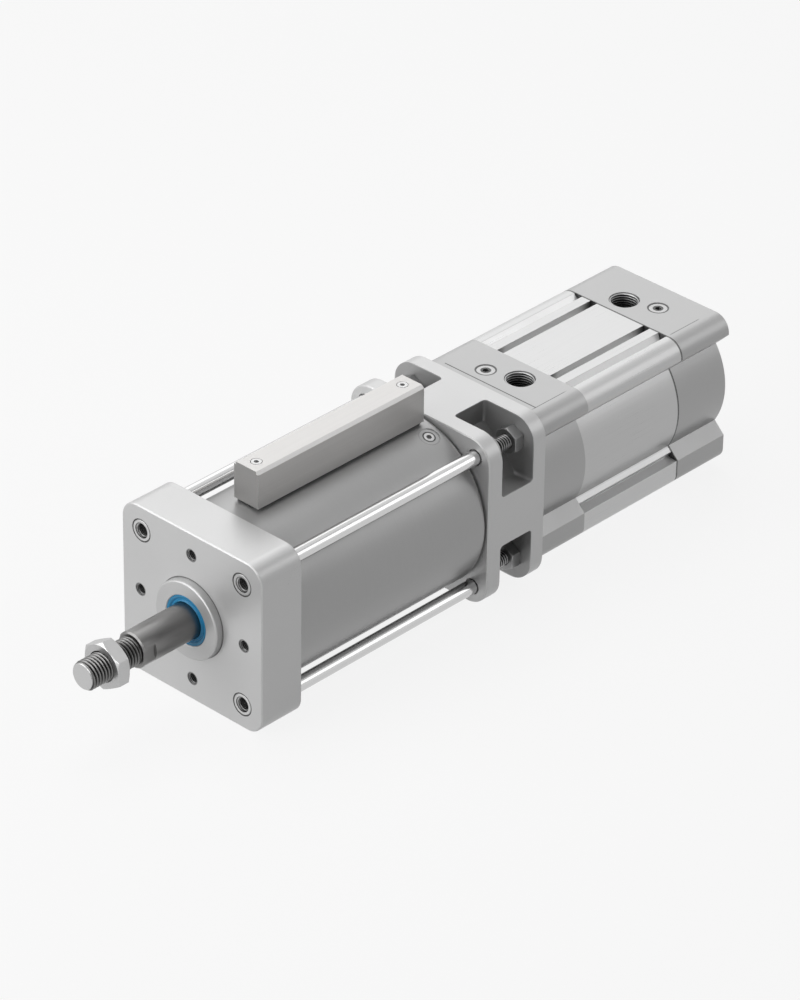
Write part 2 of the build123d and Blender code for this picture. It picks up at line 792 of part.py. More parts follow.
# rear cap of the cylinder with the cushion chamber and the centring recess behind
rear_spigot_front = rear_cap_front - cylinder_spigot
rear_cap_port = rear_cap_front + rear_port_y
rear_screw_station = rear_cap_front + rear_screw_y
with BuildPart() as cylinder_rear_cap:
    cylinder_section(rear_cap_front, cylinder_rear)
    coaxial(bore_radius - seat_clearance, rear_spigot_front, rear_cap_front)
    bore(cushion_bore_radius, rear_spigot_front, rear_spigot_front + cushion_bore_depth)
    bore(collar_radius, cylinder_rear - rear_recess_depth, cylinder_rear)
    corner_rods(sleeve_radius, mount_spacing, cylinder_rear - sleeve_length, cylinder_rear, Mode.SUBTRACT)
    corner_rods(
        cap_screw_radius + seat_clearance, mount_spacing, rear_cap_front, cylinder_rear, Mode.SUBTRACT
    )
    top_features(rear_port_x, rear_cap_port, rear_screw_x, rear_screw_station)
    rear_seal_front = rear_spigot_front + ring_inset / 2
    ring(
        cushion_bore_radius + seal_depth,
        cushion_sleeve_radius,
        rear_seal_front,
        rear_seal_front + ring_height,
        Mode.SUBTRACT,
    )
    rear_o_ring = rear_spigot_front + (cylinder_spigot - ring_height) / 2
    ring(bore_radius, bore_radius - ring_depth, rear_o_ring, rear_o_ring + ring_height, Mode.SUBTRACT)

with BuildPart() as rear_cap_screws:
    collar_screws(mount_thread_radius, cylinder_rear, rear_cap_front - cap_screw_grip, -1)

# seals of the cushion chambers and of the cap spigots
cushion_seal_bore = cushion_sleeve_radius + run_clearance
with BuildPart() as front_cushion_seal:
    ring(
        cushion_bore_radius + seal_depth - seat_clearance,
        cushion_seal_bore,
        front_seal_rear - ring_height,
        front_seal_rear,
    )

with BuildPart() as rear_cushion_seal:
    ring(
        cushion_bore_radius + seal_depth - seat_clearance,
        cushion_seal_bore,
        rear_seal_front,
        rear_seal_front + ring_height,
    )

with BuildPart() as cylinder_o_rings:
    for station in (front_o_ring, rear_o_ring):
        ring(bore_radius - seat_clearance, bore_radius - ring_depth, station, station + ring_height)

# cushion adjusting screws in the tops of the caps
with BuildPart() as front_cushion_screw:
    cushion_screw(front_screw_x, front_screw_station)

with BuildPart() as rear_cushion_screw:
    cushion_screw(rear_screw_x, rear_screw_station)

# piston rod: threaded end, seat of the lock nut, spanner flats and the stub that carries the piston
rod_shoulder = -rod_projection
nut_rear = rod_shoulder - lock_nut_from_shoulder
nut_front = nut_rear - lock_nut_height
rod_tip = rod_shoulder - rod_thread_length
rod_end = piston_rear + cushion_sleeve_length - end_gap
with BuildPart() as piston_rod:
    turn(
        [
            (0, rod_tip),
            (rod_thread_radius - rod_tip_chamfer, rod_tip),
            (rod_thread_radius, rod_tip + rod_tip_chamfer),
            (rod_thread_radius, nut_front),
            (lock_nut_thread_radius, nut_front),
            (lock_nut_thread_radius, rod_shoulder),
            (rod_radius - rod_tip_chamfer, rod_shoulder),
            (rod_radius, rod_shoulder + rod_tip_chamfer),
            (rod_radius, piston_front),
            (rod_spigot_radius, piston_front),
            (rod_spigot_radius, rod_end),
            (0, rod_end),
        ]
    )
    with BuildSketch(facing_front(rod_shoulder + flat_length)) as flats:
        with Locations(*[(side * (flat_across / 2 + rod_radius), 0) for side in (-1, 1)]):
            Rectangle(2 * rod_radius, 2 * rod_radius)
    extrude(amount=flat_length, mode=Mode.SUBTRACT)

# lock nut on the rod thread, chamfered on both sides
nut_corner = lock_nut_across / sqrt(3)
with BuildPart() as rod_lock_nut:
    with BuildSketch(facing_front(nut_rear)) as nut_section:
        RegularPolygon(lock_nut_across / 2, 6, major_radius=False, rotation=30)
    extrude(amount=lock_nut_height)
    turn(
        [
            (0, nut_front),
            (nut_corner - lock_nut_bevel_width, nut_front),
            (nut_corner, nut_front + lock_nut_bevel_height),
            (nut_corner, nut_rear - lock_nut_bevel_height),
            (nut_corner - lock_nut_bevel_width, nut_rear),
            (0, nut_rear),
        ],
        Mode.INTERSECT,
    )
    bore(lock_nut_thread_radius + run_clearance, nut_front, nut_rear)

# piston with grooves for its seals, magnet and guide ring
piston_radius = bore_radius - piston_relief
piston_seal_front = piston_front + piston_land
piston_seal_rear = piston_rear - piston_land
piston_guide_front = piston_seal_front + seal_height + piston_land / 2
piston_magnet_front = piston_guide_front + guide_height + piston_land / 2
with BuildPart() as piston:
    ring(piston_radius, rod_spigot_radius + seat_clearance, piston_front, piston_rear)
    for front, height, depth in (
        (piston_seal_front, seal_height, seal_depth),
        (piston_guide_front, guide_height, guide_depth),
        (piston_magnet_front, magnet_height, seal_depth),
        (piston_seal_rear - seal_height, seal_height, seal_depth),
    ):
        ring(bore_radius, piston_radius - depth, front, front + height, Mode.SUBTRACT)

running_radius = bore_radius - run_clearance
with BuildPart() as piston_seals:
    for front in (piston_seal_front, piston_seal_rear - seal_height):
        ring(running_radius, piston_radius - seal_depth, front, front + seal_height)

with BuildPart() as piston_guide_ring:
    ring(running_radius, piston_radius - guide_depth, piston_guide_front, piston_guide_front + guide_height)

with BuildPart() as piston_magnet:
    ring(piston_radius, piston_radius - seal_depth, piston_magnet_front, piston_magnet_front + magnet_height)

# cushion sleeve in front of the piston and the cushion nut behind it
with BuildPart() as front_cushion_sleeve:
    turn(
        [
            (rod_radius + seat_clearance, piston_front - cushion_sleeve_length),
            (cushion_sleeve_radius - cushion_lead, piston_front - cushion_sleeve_length),
            (cushion_sleeve_radius, piston_front - cushion_sleeve_length + cushion_lead_length),
            (cushion_sleeve_radius, piston_front),
            (rod_radius + seat_clearance, piston_front),
        ]
    )

with BuildPart() as rear_cushion_nut:
    turn(
        [
            (rod_spigot_radius + seat_clearance, piston_rear),
            (cushion_sleeve_radius, piston_rear),
            (cushion_sleeve_radius, piston_rear + cushion_sleeve_length - cushion_lead_length),
            (cushion_sleeve_radius - cushion_lead, piston_rear + cushion_sleeve_length),
            (rod_spigot_radius + seat_clearance, piston_rear + cushion_sleeve_length),
        ]
    )

pieces = {
    "front_bearing_cap": front_bearing_cap,
    "bearing_cartridge": bearing_cartridge,
    "mounting_sleeves": mounting_sleeves,
    "rod_wiper_seal": rod_wiper_seal,
    "front_guide_bush": front_guide_bush,
    "brake_tube": brake_tube,
    "tube_plug": tube_plug,
    "channel_bar": channel_bar,
    "channel_bar_gasket": channel_bar_gasket,
    "channel_bar_screws": channel_bar_screws,
    "coupling_housing": coupling_housing,
    "coupling_studs": coupling_studs,
    "coupling_nuts": coupling_nuts,
    "disc_springs": disc_springs,
    "brake_piston": brake_piston,
    "spring_guide_tube": spring_guide_tube,
    "taper_sleeve": taper_sleeve,
    "brake_piston_guide_ring": brake_piston_guide_ring,
    "brake_piston_seal": brake_piston_seal,
    "clamping_insert": clamping_insert,
    "insert_sleeve_seal": insert_sleeve_seal,
    "brake_o_rings": brake_o_rings,
    "jaw_spreader_ring": jaw_spreader_ring,
    "cylinder_front_cap": cylinder_front_cap,
    "rod_seal": rod_seal,
    "rod_bearing_bush": rod_bearing_bush,
    "front_cap_screws": front_cap_screws,
    "cylinder_profile": cylinder_profile,
    "cylinder_rear_cap": cylinder_rear_cap,
    "rear_cap_screws": rear_cap_screws,
    "front_cushion_seal": front_cushion_seal,
    "rear_cushion_seal": rear_cushion_seal,
    "cylinder_o_rings": cylinder_o_rings,
    "front_cushion_screw": front_cushion_screw,
    "rear_cushion_screw": rear_cushion_screw,
    "piston_rod": piston_rod,
    "rod_lock_nut": rod_lock_nut,
    "piston": piston,
    "piston_seals": piston_seals,
    "piston_guide_ring": piston_guide_ring,
    "piston_magnet": piston_magnet,
    "front_cushion_sleeve": front_cushion_sleeve,
    "rear_cushion_nut": rear_cushion_nut,
} | tie_rods | jaws

for name, piece in pieces.items():
    piece.part.label = name
    export_step(piece.part, f"parts/{name}.step")
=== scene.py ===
import math

import bmesh
import bpy
import numpy as np
from mathutils import Matrix, Vector
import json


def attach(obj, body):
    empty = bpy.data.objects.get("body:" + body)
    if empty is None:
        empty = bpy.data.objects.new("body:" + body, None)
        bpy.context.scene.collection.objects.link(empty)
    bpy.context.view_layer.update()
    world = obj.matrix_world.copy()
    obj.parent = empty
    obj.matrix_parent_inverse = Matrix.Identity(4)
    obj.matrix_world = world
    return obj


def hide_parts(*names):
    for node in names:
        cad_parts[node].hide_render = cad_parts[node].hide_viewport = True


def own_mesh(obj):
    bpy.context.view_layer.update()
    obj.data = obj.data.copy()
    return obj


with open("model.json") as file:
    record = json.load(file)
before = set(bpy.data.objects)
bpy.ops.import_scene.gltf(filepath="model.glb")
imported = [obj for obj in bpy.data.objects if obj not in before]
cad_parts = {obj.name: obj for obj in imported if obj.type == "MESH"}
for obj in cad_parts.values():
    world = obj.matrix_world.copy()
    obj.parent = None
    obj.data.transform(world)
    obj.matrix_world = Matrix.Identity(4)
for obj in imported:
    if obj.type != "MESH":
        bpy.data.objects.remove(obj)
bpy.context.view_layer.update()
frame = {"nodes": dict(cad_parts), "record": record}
mm = 0.001
# merge distances in metres, angle in degrees
meshValues = {"weld": 2e-7, "sliver": 1e-7, "smoothAngle": 32.0}
print("frame loaded:", len(frame["nodes"]), "nodes")


def gridQuads(rows, columns, closeRows, closeColumns):
    # quads between neighbours of a rows x columns grid, wrapped round where it closes
    r = np.arange(rows if closeRows else rows - 1)
    c = np.arange(columns if closeColumns else columns - 1)
    r, c = np.meshgrid(r, c, indexing="ij")
    r2, c2 = (r + 1) % rows, (c + 1) % columns
    corners = [r * columns + c, r * columns + c2, r2 * columns + c2, r2 * columns + c]
    return np.stack(corners, -1).reshape(-1, 4)


def makePiece(name, grids, body, material, stands=(), smoothAngle=meshValues["smoothAngle"]):
    # grids: list of (points[rows, columns, xyz] in mm, closeRows, closeColumns); all become one mesh
    # a fourth value of a point is the relief: 0 in a thread's roots and deep in a hole, 1 elsewhere;
    # materials paint shade from it
    points, relief, quads, start = [], [], [], 0
    for grid, closeRows, closeColumns in grids:
        rows, columns = grid.shape[:2]
        points.append(grid[..., :3].reshape(-1, 3) * mm)
        hasRelief = grid.shape[2] > 3
        relief.append((grid[..., 3] if hasRelief else np.ones((rows, columns))).ravel())
        quads.append(gridQuads(rows, columns, closeRows, closeColumns) + start)
        start += rows * columns
    points, relief, quads = np.concatenate(points), np.concatenate(relief), np.concatenate(quads)
    mesh = bpy.data.meshes.new(name)
    mesh.vertices.add(len(points))
    mesh.vertices.foreach_set("co", points.ravel())
    mesh.loops.add(quads.size)
    mesh.loops.foreach_set("vertex_index", quads.ravel().astype(np.int32))
    mesh.polygons.add(len(quads))
    mesh.polygons.foreach_set("loop_start", np.arange(0, quads.size, 4, dtype=np.int32))
    mesh.update(calc_edges=True)
    mesh.attributes.new("relief", "FLOAT", "POINT").data.foreach_set("value", relief.astype(np.float32))
    bm = bmesh.new()
    bm.from_mesh(mesh)
    bmesh.ops.remove_doubles(bm, verts=bm.verts, dist=meshValues["weld"])
    bmesh.ops.dissolve_degenerate(bm, edges=bm.edges, dist=meshValues["sliver"])
    bmesh.ops.recalc_face_normals(bm, faces=bm.faces)
    bm.to_mesh(mesh)
    bm.free()
    mesh.validate()
    mesh.polygons.foreach_set("use_smooth", np.ones(len(mesh.polygons), bool))
    mesh.set_sharp_from_angle(angle=math.radians(smoothAngle))
    piece = bpy.data.objects.new(name, mesh)
    bpy.context.scene.collection.objects.link(piece)
    piece.data.materials.append(material)
    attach(piece, body)
    if stands:
        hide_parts(*stands)
    print("piece", name, len(mesh.polygons), "faces")
    return piece


def around(steps):
    # angles of one full turn about the rod axis, from +X towards +Z
    return np.arange(steps) * (2 * math.pi / steps)


def withRelief(points, relief):
    # the same points with their relief as a fourth value
    return np.concatenate([points, (relief + 0 * points[..., 0])[..., None]], -1)


def turnedPoints(radius, station, angle, centre=(0.0, 0.0)):
    # point(i, a) = (cx + r cos a, y, cz + r sin a), with r and y given for each row or each row and angle
    radius = np.asarray(radius, float)
    station = np.asarray(station, float)
    if radius.ndim == 1:
        radius = radius[:, None]
    if station.ndim == 1:
        station = station[:, None]
    x = centre[0] + radius * np.cos(angle)
    z = centre[1] + radius * np.sin(angle)
    y = station + 0 * x
    return np.stack([x, y, z], -1)


def uprightPoints(radius, height, angle, centre):
    # the same about an upright axis: point(i, a) = (cx + r cos a, cy + r sin a, z)
    turned = turnedPoints(radius, height, angle)
    return np.stack([centre[0] + turned[..., 0], centre[1] + turned[..., 2], turned[..., 1]], -1)


def hexReach(angle, acrossFlats):
    # distance from the axis to a hexagon's side: (af / 2) / cos(a folded into +-30 degrees about each flat)
    folded = (angle + math.pi / 6) % (math.pi / 3) - math.pi / 6
    return acrossFlats / 2 / np.cos(folded)


threadShape = {"middle": 0.5, "stretch": 1.22}


def threadHeight(station, angle, pitch):
    # 0 at the root and 1 at the crest of a V thread with flattened tips:
    # |2 frac(y / p + a / 2 pi) - 1|, stretched about its middle and cut
    phase = (station[:, None] / pitch + angle[None, :] / (2 * math.pi)) % 1.0
    middle = threadShape["middle"]
    return np.clip((np.abs(2 * phase - 1) - middle) * threadShape["stretch"] + middle, 0, 1)


def cornerCentres(spacing):
    # four places (x, z) = (+-s / 2, +-s / 2)
    return [(x * spacing / 2, z * spacing / 2) for x in (-1, 1) for z in (-1, 1)]


class Wire:
    # a socket that can be used in plain arithmetic
    def __init__(self, shader, socket):
        self.shader, self.socket = shader, socket

    def maths(self, operation, *inputs, clamp=False):
        settings = {"operation": operation, "use_clamp": clamp}
        return self.shader.add("ShaderNodeMath", settings, dict(enumerate(inputs)))

    def __add__(self, other):
        return self.maths("ADD", self, other)

    def __radd__(self, other):
        return self.maths("ADD", other, self)

    def __sub__(self, other):
        return self.maths("SUBTRACT", self, other)

    def __rsub__(self, other):
        return self.maths("SUBTRACT", other, self)

    def __mul__(self, other):
        return self.maths("MULTIPLY", self, other)

    def __rmul__(self, other):
        return self.maths("MULTIPLY", other, self)

    def __pow__(self, other):
        return self.maths("POWER", self, other)

    def __rpow__(self, other):
        return self.maths("POWER", other, self)

    def __abs__(self):
        return self.maths("ABSOLUTE", self)

    def least(self, other):
        return self.maths("MINIMUM", self, other)

    def most(self, other):
        return self.maths("MAXIMUM", self, other)

    def clip(self):
        return self.maths("MULTIPLY", self, 1.0, clamp=True)

    def ramp(self, low, high):
        # 0 below low, 1 above high, smooth between
        return self.shader.add("ShaderNodeMapRange", {"interpolation_type": "SMOOTHSTEP"},
                               {"Value": self, "From Min": low, "From Max": high})

    def rise(self, start, width):
        # the same ramp with its start and width in mm
        return self.ramp(start * mm, (start + width) * mm)


class Shader:
    # the node tree of a material or world; add() makes any node, settings first and then its sockets
    def __init__(self, owner):
        self.owner = owner
        owner.use_nodes = True
        self.tree = owner.node_tree
        self.tree.nodes.clear()

    def add(self, kind, settings=None, sockets=None, out=0):
        node = self.tree.nodes.new(kind)
        for key, value in (settings or {}).items():
            setattr(node, key, value)
        for key, value in (sockets or {}).items():
            if isinstance(value, Wire):
                self.tree.links.new(value.socket, node.inputs[key])
            else:
                node.inputs[key].default_value = value
        return Wire(self, node.outputs[out]) if node.outputs else None

    def object(self):
        return self.add("ShaderNodeTexCoord", out="Object")

    def split(self, vector):
        node = self.add("ShaderNodeSeparateXYZ", {}, {0: vector}).socket.node
        return [Wire(self, output) for output in node.outputs]

    def noise(self, vector, scale, detail, rough=0.5):
        sockets = {"Vector": vector, "Scale": scale, "Detail": detail, "Roughness": rough}
        return self.add("ShaderNodeTexNoise", {}, sockets)

    def blendColour(self, factor, first, second):
        # sockets 0, 6 and 7 of the Mix node are the factor and the two colours, output 2 the colour
        return self.add("ShaderNodeMix", {"data_type": "RGBA"}, {0: factor, 6: first, 7: second}, 2)


def grey(value, warm=0.0):
    # one value for all three channels; warm lifts red and lowers blue by that share
    return (value * (1 + warm), value, value * (1 - warm), 1.0)


def scaled(colour, share):
    # the same colour, lighter or darker
    return [min(1.0, c * share) for c in colour[:3]] + [1.0]


metalValues = {"cloudScale": 18.0, "cloudDetail": 3.0, "grainDetail": 2.0, "grainRough": 0.6,
               "stretch": 0.012, "drawnDetail": 3.0, "drawnRough": 0.65, "turnedDetail": 2.0,
               "turnedRough": 0.6, "roughSpread": 0.6, "bevelSamples": 4, "edgeHighlightFrom": 0.004, "edgeHighlightTo": 0.10,
               "bumpDistance": 0.0002}


def metalFinish(name, look, extra=None):
    # satin metal: cloudy tone + fine grain + rounded edges with a painted highlight along them,
    # with marks drawn along Y or turned about the rod's axis
    v = metalValues
    s = Shader(bpy.data.materials.new(name))
    place = s.object()
    x, y, z = s.split(place)
    cloud = s.noise(place, v["cloudScale"], v["cloudDetail"])
    grain = s.noise(place, look["grainScale"], v["grainDetail"], v["grainRough"])
    tone = (cloud - 0.5) * look["cloud"] + (grain - 0.5) * look["grain"]
    height = (grain - 0.5) * look["grainDepth"]
    if "drawn" in look:
        if look["drawn"] == "y":
            along = s.add("ShaderNodeMapping", {}, {"Vector": place, "Scale": (1.0, v["stretch"], 1.0)})
            marks = s.noise(along, look["drawnScale"], v["drawnDetail"], v["drawnRough"])
        else:
            radial = (x ** 2.0 + z ** 2.0) ** 0.5
            rings = s.add("ShaderNodeCombineXYZ", {}, {0: radial, 1: y, 2: 0.0})
            marks = s.noise(rings, look["drawnScale"], v["turnedDetail"], v["turnedRough"])
        tone = tone + (marks - 0.5) * look["drawnTone"]
        height = height + (marks - 0.5) * look["drawnDepth"]
    rough = look["roughness"] + tone * look.get("roughSpread", v["roughSpread"])
    rounded = s.add("ShaderNodeBevel", {"samples": v["bevelSamples"]}, {"Radius": look["edge"] * mm})
    flat = s.add("ShaderNodeNewGeometry", {}, {}, "Normal")
    bend = s.add("ShaderNodeVectorMath", {"operation": "DOT_PRODUCT"}, {0: rounded, 1: flat}, "Value")
    # painted highlight: base colour paler along edges, where the rounded normal bends away from the flat one
    paintedEdgeHighlight = (1.0 - bend).ramp(v["edgeHighlightFrom"], v["edgeHighlightTo"]) * look["edgeLight"]
    shades = scaled(look["colour"], look["dark"]), scaled(look["colour"], look["bright"])
    body = s.blendColour((tone + 0.5).clip(), *shades)
    if extra:
        body, height = extra(s, x, y, z, body, height)
    body = s.blendColour(paintedEdgeHighlight, body, look["edgeColour"])
    bump = s.add("ShaderNodeBump", {}, {
        "Strength": look["bump"], "Distance": v["bumpDistance"], "Height": height, "Normal": rounded})
    shader = s.add("ShaderNodeBsdfPrincipled", {}, {
        "Base Color": body, "Metallic": look["metallic"], "Roughness": rough.clip(), "Normal": bump})
    s.add("ShaderNodeOutputMaterial", {}, {"Surface": shader})
    return s.owner


softValues = {"cloudScale": 60.0, "cloudDetail": 3.0, "grainDetail": 2.0, "grainRough": 0.6, "dark": 0.72,
              "bright": 1.28, "roughSpread": 0.4, "bump": 0.3, "bumpDistance": 0.0002}


def softFinish(name, look):
    # rubber, plastic or sintered metal: cloudy tone + fine moulded grain
    v = softValues
    s = Shader(bpy.data.materials.new(name))
    place = s.object()
    cloud = s.noise(place, v["cloudScale"], v["cloudDetail"])
    grain = s.noise(place, look["grainScale"], v["grainDetail"], v["grainRough"])
    tone = (cloud - 0.5) * look["cloud"] + (grain - 0.5) * look["grain"]
    shades = scaled(look["colour"], v["dark"]), scaled(look["colour"], v["bright"])
    body = s.blendColour((tone + 0.5).clip(), *shades)
    bump = s.add("ShaderNodeBump", {}, {
        "Strength": v["bump"], "Distance": v["bumpDistance"], "Height": grain})
    rough = look["roughness"] + tone * v["roughSpread"]
    shader = s.add("ShaderNodeBsdfPrincipled", {}, {
        "Base Color": body, "Metallic": look["metallic"], "Roughness": rough.clip(), "Normal": bump})
    s.add("ShaderNodeOutputMaterial", {}, {"Surface": shader})
    return s.owner


# finishes of the CAD nodes and pieces
castLook = {"colour": grey(0.60), "edgeColour": grey(0.84), "dark": 0.86, "bright": 1.14, "metallic": 0.45,
            "roughness": 0.36, "grainScale": 2600.0, "grain": 0.45, "grainDepth": 0.5, "cloud": 0.30,
            "edge": 0.16, "edgeLight": 0.3, "bump": 0.2}
collarLook = dict(castLook, colour=grey(0.52), drawn="turned", drawnScale=2400.0, drawnTone=0.16,
                  drawnDepth=0.12, metallic=0.55, roughness=0.40)
tubeLook = {"colour": grey(0.41), "edgeColour": grey(0.72), "dark": 0.84, "bright": 1.14, "metallic": 0.50,
            "roughness": 0.36, "grainScale": 3000.0, "grain": 0.40, "grainDepth": 0.4, "cloud": 0.22,
            "drawn": "turned", "drawnScale": 900.0, "drawnTone": 0.22, "drawnDepth": 0.25,
            "edge": 0.4, "edgeLight": 0.5, "bump": 0.2}
profileLook = {"colour": grey(0.66), "edgeColour": grey(0.84), "dark": 0.86, "bright": 1.12, "metallic": 0.45,
               "roughness": 0.34, "grainScale": 3200.0, "grain": 0.30, "grainDepth": 0.3, "cloud": 0.18,
               "drawn": "y", "drawnScale": 1300.0, "drawnTone": 0.40, "drawnDepth": 0.35,
               "edge": 0.35, "edgeLight": 0.6, "bump": 0.2}
barLook = {"colour": grey(0.75, 0.018), "edgeColour": grey(0.86), "dark": 0.86, "bright": 1.12,
           "metallic": 0.25, "roughness": 0.36, "grainScale": 3000.0, "grain": 0.30, "grainDepth": 0.3,
           "cloud": 0.20, "drawn": "y", "drawnScale": 1100.0, "drawnTone": 0.45, "drawnDepth": 0.4,
           "edge": 0.4, "edgeLight": 0.7, "bump": 0.2}
chromeLook = {"colour": grey(0.60), "edgeColour": grey(0.75), "dark": 0.92, "bright": 1.08, "metallic": 1.0,
              "roughness": 0.15, "grainScale": 4000.0, "grain": 0.15, "grainDepth": 0.06, "cloud": 0.10,
              "drawn": "turned", "drawnScale": 1500.0, "drawnTone": 0.12, "drawnDepth": 0.06,
              "edge": 0.2, "edgeLight": 0.2, "bump": 0.1, "roughSpread": 0.2}
rodLook = {"colour": grey(0.20, 0.01), "edgeColour": grey(0.42), "dark": 0.90, "bright": 1.10,
           "metallic": 1.0, "roughness": 0.30, "grainScale": 3600.0, "grain": 0.16, "grainDepth": 0.05,
           "cloud": 0.10, "drawn": "turned", "drawnScale": 3600.0, "drawnTone": 0.12, "drawnDepth": 0.05,
           "edge": 0.25, "edgeLight": 0.5, "bump": 0.15, "roughSpread": 0.3}
zincLook = {"colour": grey(0.50), "edgeColour": grey(0.75), "dark": 0.75, "bright": 1.25, "metallic": 0.9,
            "roughness": 0.34, "grainScale": 3500.0, "grain": 0.50, "grainDepth": 0.5, "cloud": 0.35,
            "edge": 0.12, "edgeLight": 0.6, "bump": 0.2}
threadLook = dict(zincLook, colour=grey(0.40), roughness=0.36, metallic=0.8)
holeLook = dict(zincLook, colour=grey(0.62), roughness=0.36, metallic=0.6)
turnedLook = dict(zincLook, colour=grey(0.58), drawn="turned", drawnScale=1500.0, drawnTone=0.4,
                  drawnDepth=0.4)
springLook = dict(zincLook, colour=grey(0.12), edgeColour=grey(0.3), roughness=0.5)
steelLook = dict(turnedLook, colour=grey(0.42))


# core and fade: shares of a line's width inside which it is full and beyond which it is gone
lineValues = {"core": 0.55, "fade": 1.1, "dark": grey(0.02), "soft": grey(0.03)}
cushionPlaces = ((-14.2, 284.0), (12.2, 424.9))


def near(value, target, width):
    # 1 on a thin line where value is target, 0 beyond it, all in mm
    away = abs(value - target * mm)
    return 1.0 - away.ramp(width * lineValues["core"] * mm, width * lineValues["fade"] * mm)


def between(value, low, high, soft):
    # 1 between low and high, with soft ends, all in mm
    return value.rise(low - soft, soft) * (1.0 - value.rise(high, soft))


def reach(u, v, centreU, centreV):
    # distance from an upright or level axis
    return ((u - centreU * mm) ** 2.0 + (v - centreV * mm) ** 2.0) ** 0.5


def threadRelief(s, x, y, z, body, height):
    # painted shade in the thread roots and deep in holes, body colour on the crests, from the relief that the
    # piece carries
    v = {"root": 0.05, "crest": 0.95, "rootShade": grey(0.012)}
    relief = s.add("ShaderNodeAttribute", {"attribute_name": "relief"}, {}, "Fac")
    return s.blendColour(relief.ramp(v["root"], v["crest"]), v["rootShade"], body), height


def capMarks(s, x, y, z, body, height):
    # tops of the cylinder's caps: painted shade along the front and right foot of a raised pad, dark outlines
    # of the cushion screws, seam to the barrel
    v = {"side": 41.4, "padFront": 271.5, "padStart": -39.0, "padEnd": 297.0, "padFade": 6.0,
         "rearStart": 405.5, "rearEnd": 431.0, "rearFade": 3.0, "line": 0.40, "frontLine": 0.52,
         "lineEnd": 0.4, "sideShare": 0.75, "screwRing": 6.6, "ringWidth": 0.95, "seam": 400.7,
         "seamWidth": 0.8, "top": 54.5, "topFade": 0.4, "ink": 0.9}
    onTop = z.rise(v["top"], v["topFade"])
    # front and right foot lines: painted shade of the pad's step
    front = near(y, v["padFront"], v["frontLine"]) * between(x, v["padStart"], v["side"], v["lineEnd"])
    frontSide = between(y, v["padFront"], v["padEnd"], v["padFade"])
    rearSide = between(y, v["rearStart"], v["rearEnd"], v["rearFade"])
    right = near(x, v["side"], v["line"]) * (frontSide + rearSide).clip()
    rings = [near(reach(x, y, *place), v["screwRing"], v["ringWidth"]) for place in cushionPlaces]
    seam = near(y, v["seam"], v["seamWidth"])
    lines = (front.most(right * v["sideShare"]).most(rings[0]).most(rings[1]) * onTop).most(seam)
    return s.blendColour(lines * v["ink"], body, lineValues["soft"]), height - lines


def faceMarks(s, x, y, z, body, height):
    # front of the brake cap: dark gaps round the sleeves, the face holes and the bearing cartridge
    v = {"half": 44.5, "sleeve": 7.7, "gap": 0.62, "cartridge": 27.7, "faceEnd": 0.4, "circle": 46.0,
         "hole": 4.1, "rimShare": 0.7, "footShare": 0.8, "ink": 0.92}
    gap = near(reach(abs(x), abs(z), v["half"], v["half"]), v["sleeve"], v["gap"])
    hole = reach(abs(x), z, v["circle"], 0.0).least(reach(x, abs(z), 0.0, v["circle"]))
    rim = near(hole, v["hole"], v["gap"]) * v["rimShare"]
    foot = near(reach(x, z, 0.0, 0.0), v["cartridge"], v["gap"]) * v["footShare"]
    lines = gap.most(foot).most(rim) * (1.0 - y.rise(v["faceEnd"], v["faceEnd"]))
    return s.blendColour(lines * v["ink"], body, lineValues["dark"]), height - lines


def screwMarks(s, x, y, z, body, height):
    # cushion screws: bright head, dark ring and painted shade on the socket floor
    v = {"ring": 2.9, "ringWidth": 0.9, "floor": 2.5, "floorFade": 0.2, "socketShadeShare": 0.8,
         "socket": grey(0.16), "ink": 0.9}
    away = reach(x, y, *cushionPlaces[0]).least(reach(x, y, *cushionPlaces[1]))
    ring = near(away, v["ring"], v["ringWidth"])
    floor = 1.0 - away.rise(v["floor"], v["floorFade"])
    body = s.blendColour(floor * v["socketShadeShare"], body, v["socket"])
    return s.blendColour(ring * v["ink"], body, lineValues["dark"]), height - ring


def tipMarks(s, x, y, z, body, height):
    # piston rod: thread relief, and a painted highlight on the turned face of its tip
    v = {"tip": -93.9, "faceDepth": 0.6, "share": 0.8, "turned": grey(0.62)}
    body, height = threadRelief(s, x, y, z, body, height)
    # painted highlight on the tip's face
    face = 1.0 - y.rise(v["tip"], v["faceDepth"])
    return s.blendColour(face * v["share"], body, v["turned"]), height


def barrelMarks(s, x, y, z, body, height):
    # extruded barrel: painted light on the groove walls, slot floors and lower sides, painted shade in the
    # slots towards the caps, seam to the rear cap
    v = {"grooveIn": 34.0, "grooveOut": 41.0, "slotIn": 20.6, "slotOut": 26.4, "top": 54.55, "topFade": 0.3,
         "upper": 40.0, "front": 308.0, "rear": 400.7, "fade": 9.0, "seamWidth": 0.8, "sideIn": 47.2,
         "lowTop": -28.4, "soft": 0.2, "grooveShare": 0.7, "slotShare": 0.35, "lowShare": 0.35,
         "endShare": 0.8, "pale": grey(0.95), "dark": grey(0.05), "ink": 0.9}
    sunk = (1.0 - z.rise(v["top"], v["topFade"])) * z.rise(v["upper"], 1.0)
    groove = between(abs(x), v["grooveIn"], v["grooveOut"], v["soft"]) * sunk
    slot = between(abs(x), v["slotIn"], v["slotOut"], v["soft"]) * sunk
    ends = (1.0 - y.rise(v["front"], v["fade"])) + y.rise(v["rear"] - v["fade"], v["fade"])
    low = (1.0 - z.rise(v["lowTop"], v["soft"])) * abs(x).rise(v["sideIn"], v["soft"])
    # painted light on the groove walls, slot floors and lower sides
    pale = (groove * v["grooveShare"]).most(low * v["lowShare"]).most(slot * v["slotShare"])
    body = s.blendColour(pale, body, v["pale"])
    # painted shade at the slots' ends
    body = s.blendColour(slot * ends.clip() * v["endShare"], body, v["dark"])
    seam = near(y, v["rear"], v["seamWidth"])
    return s.blendColour(seam * v["ink"], body, lineValues["soft"]), height - seam


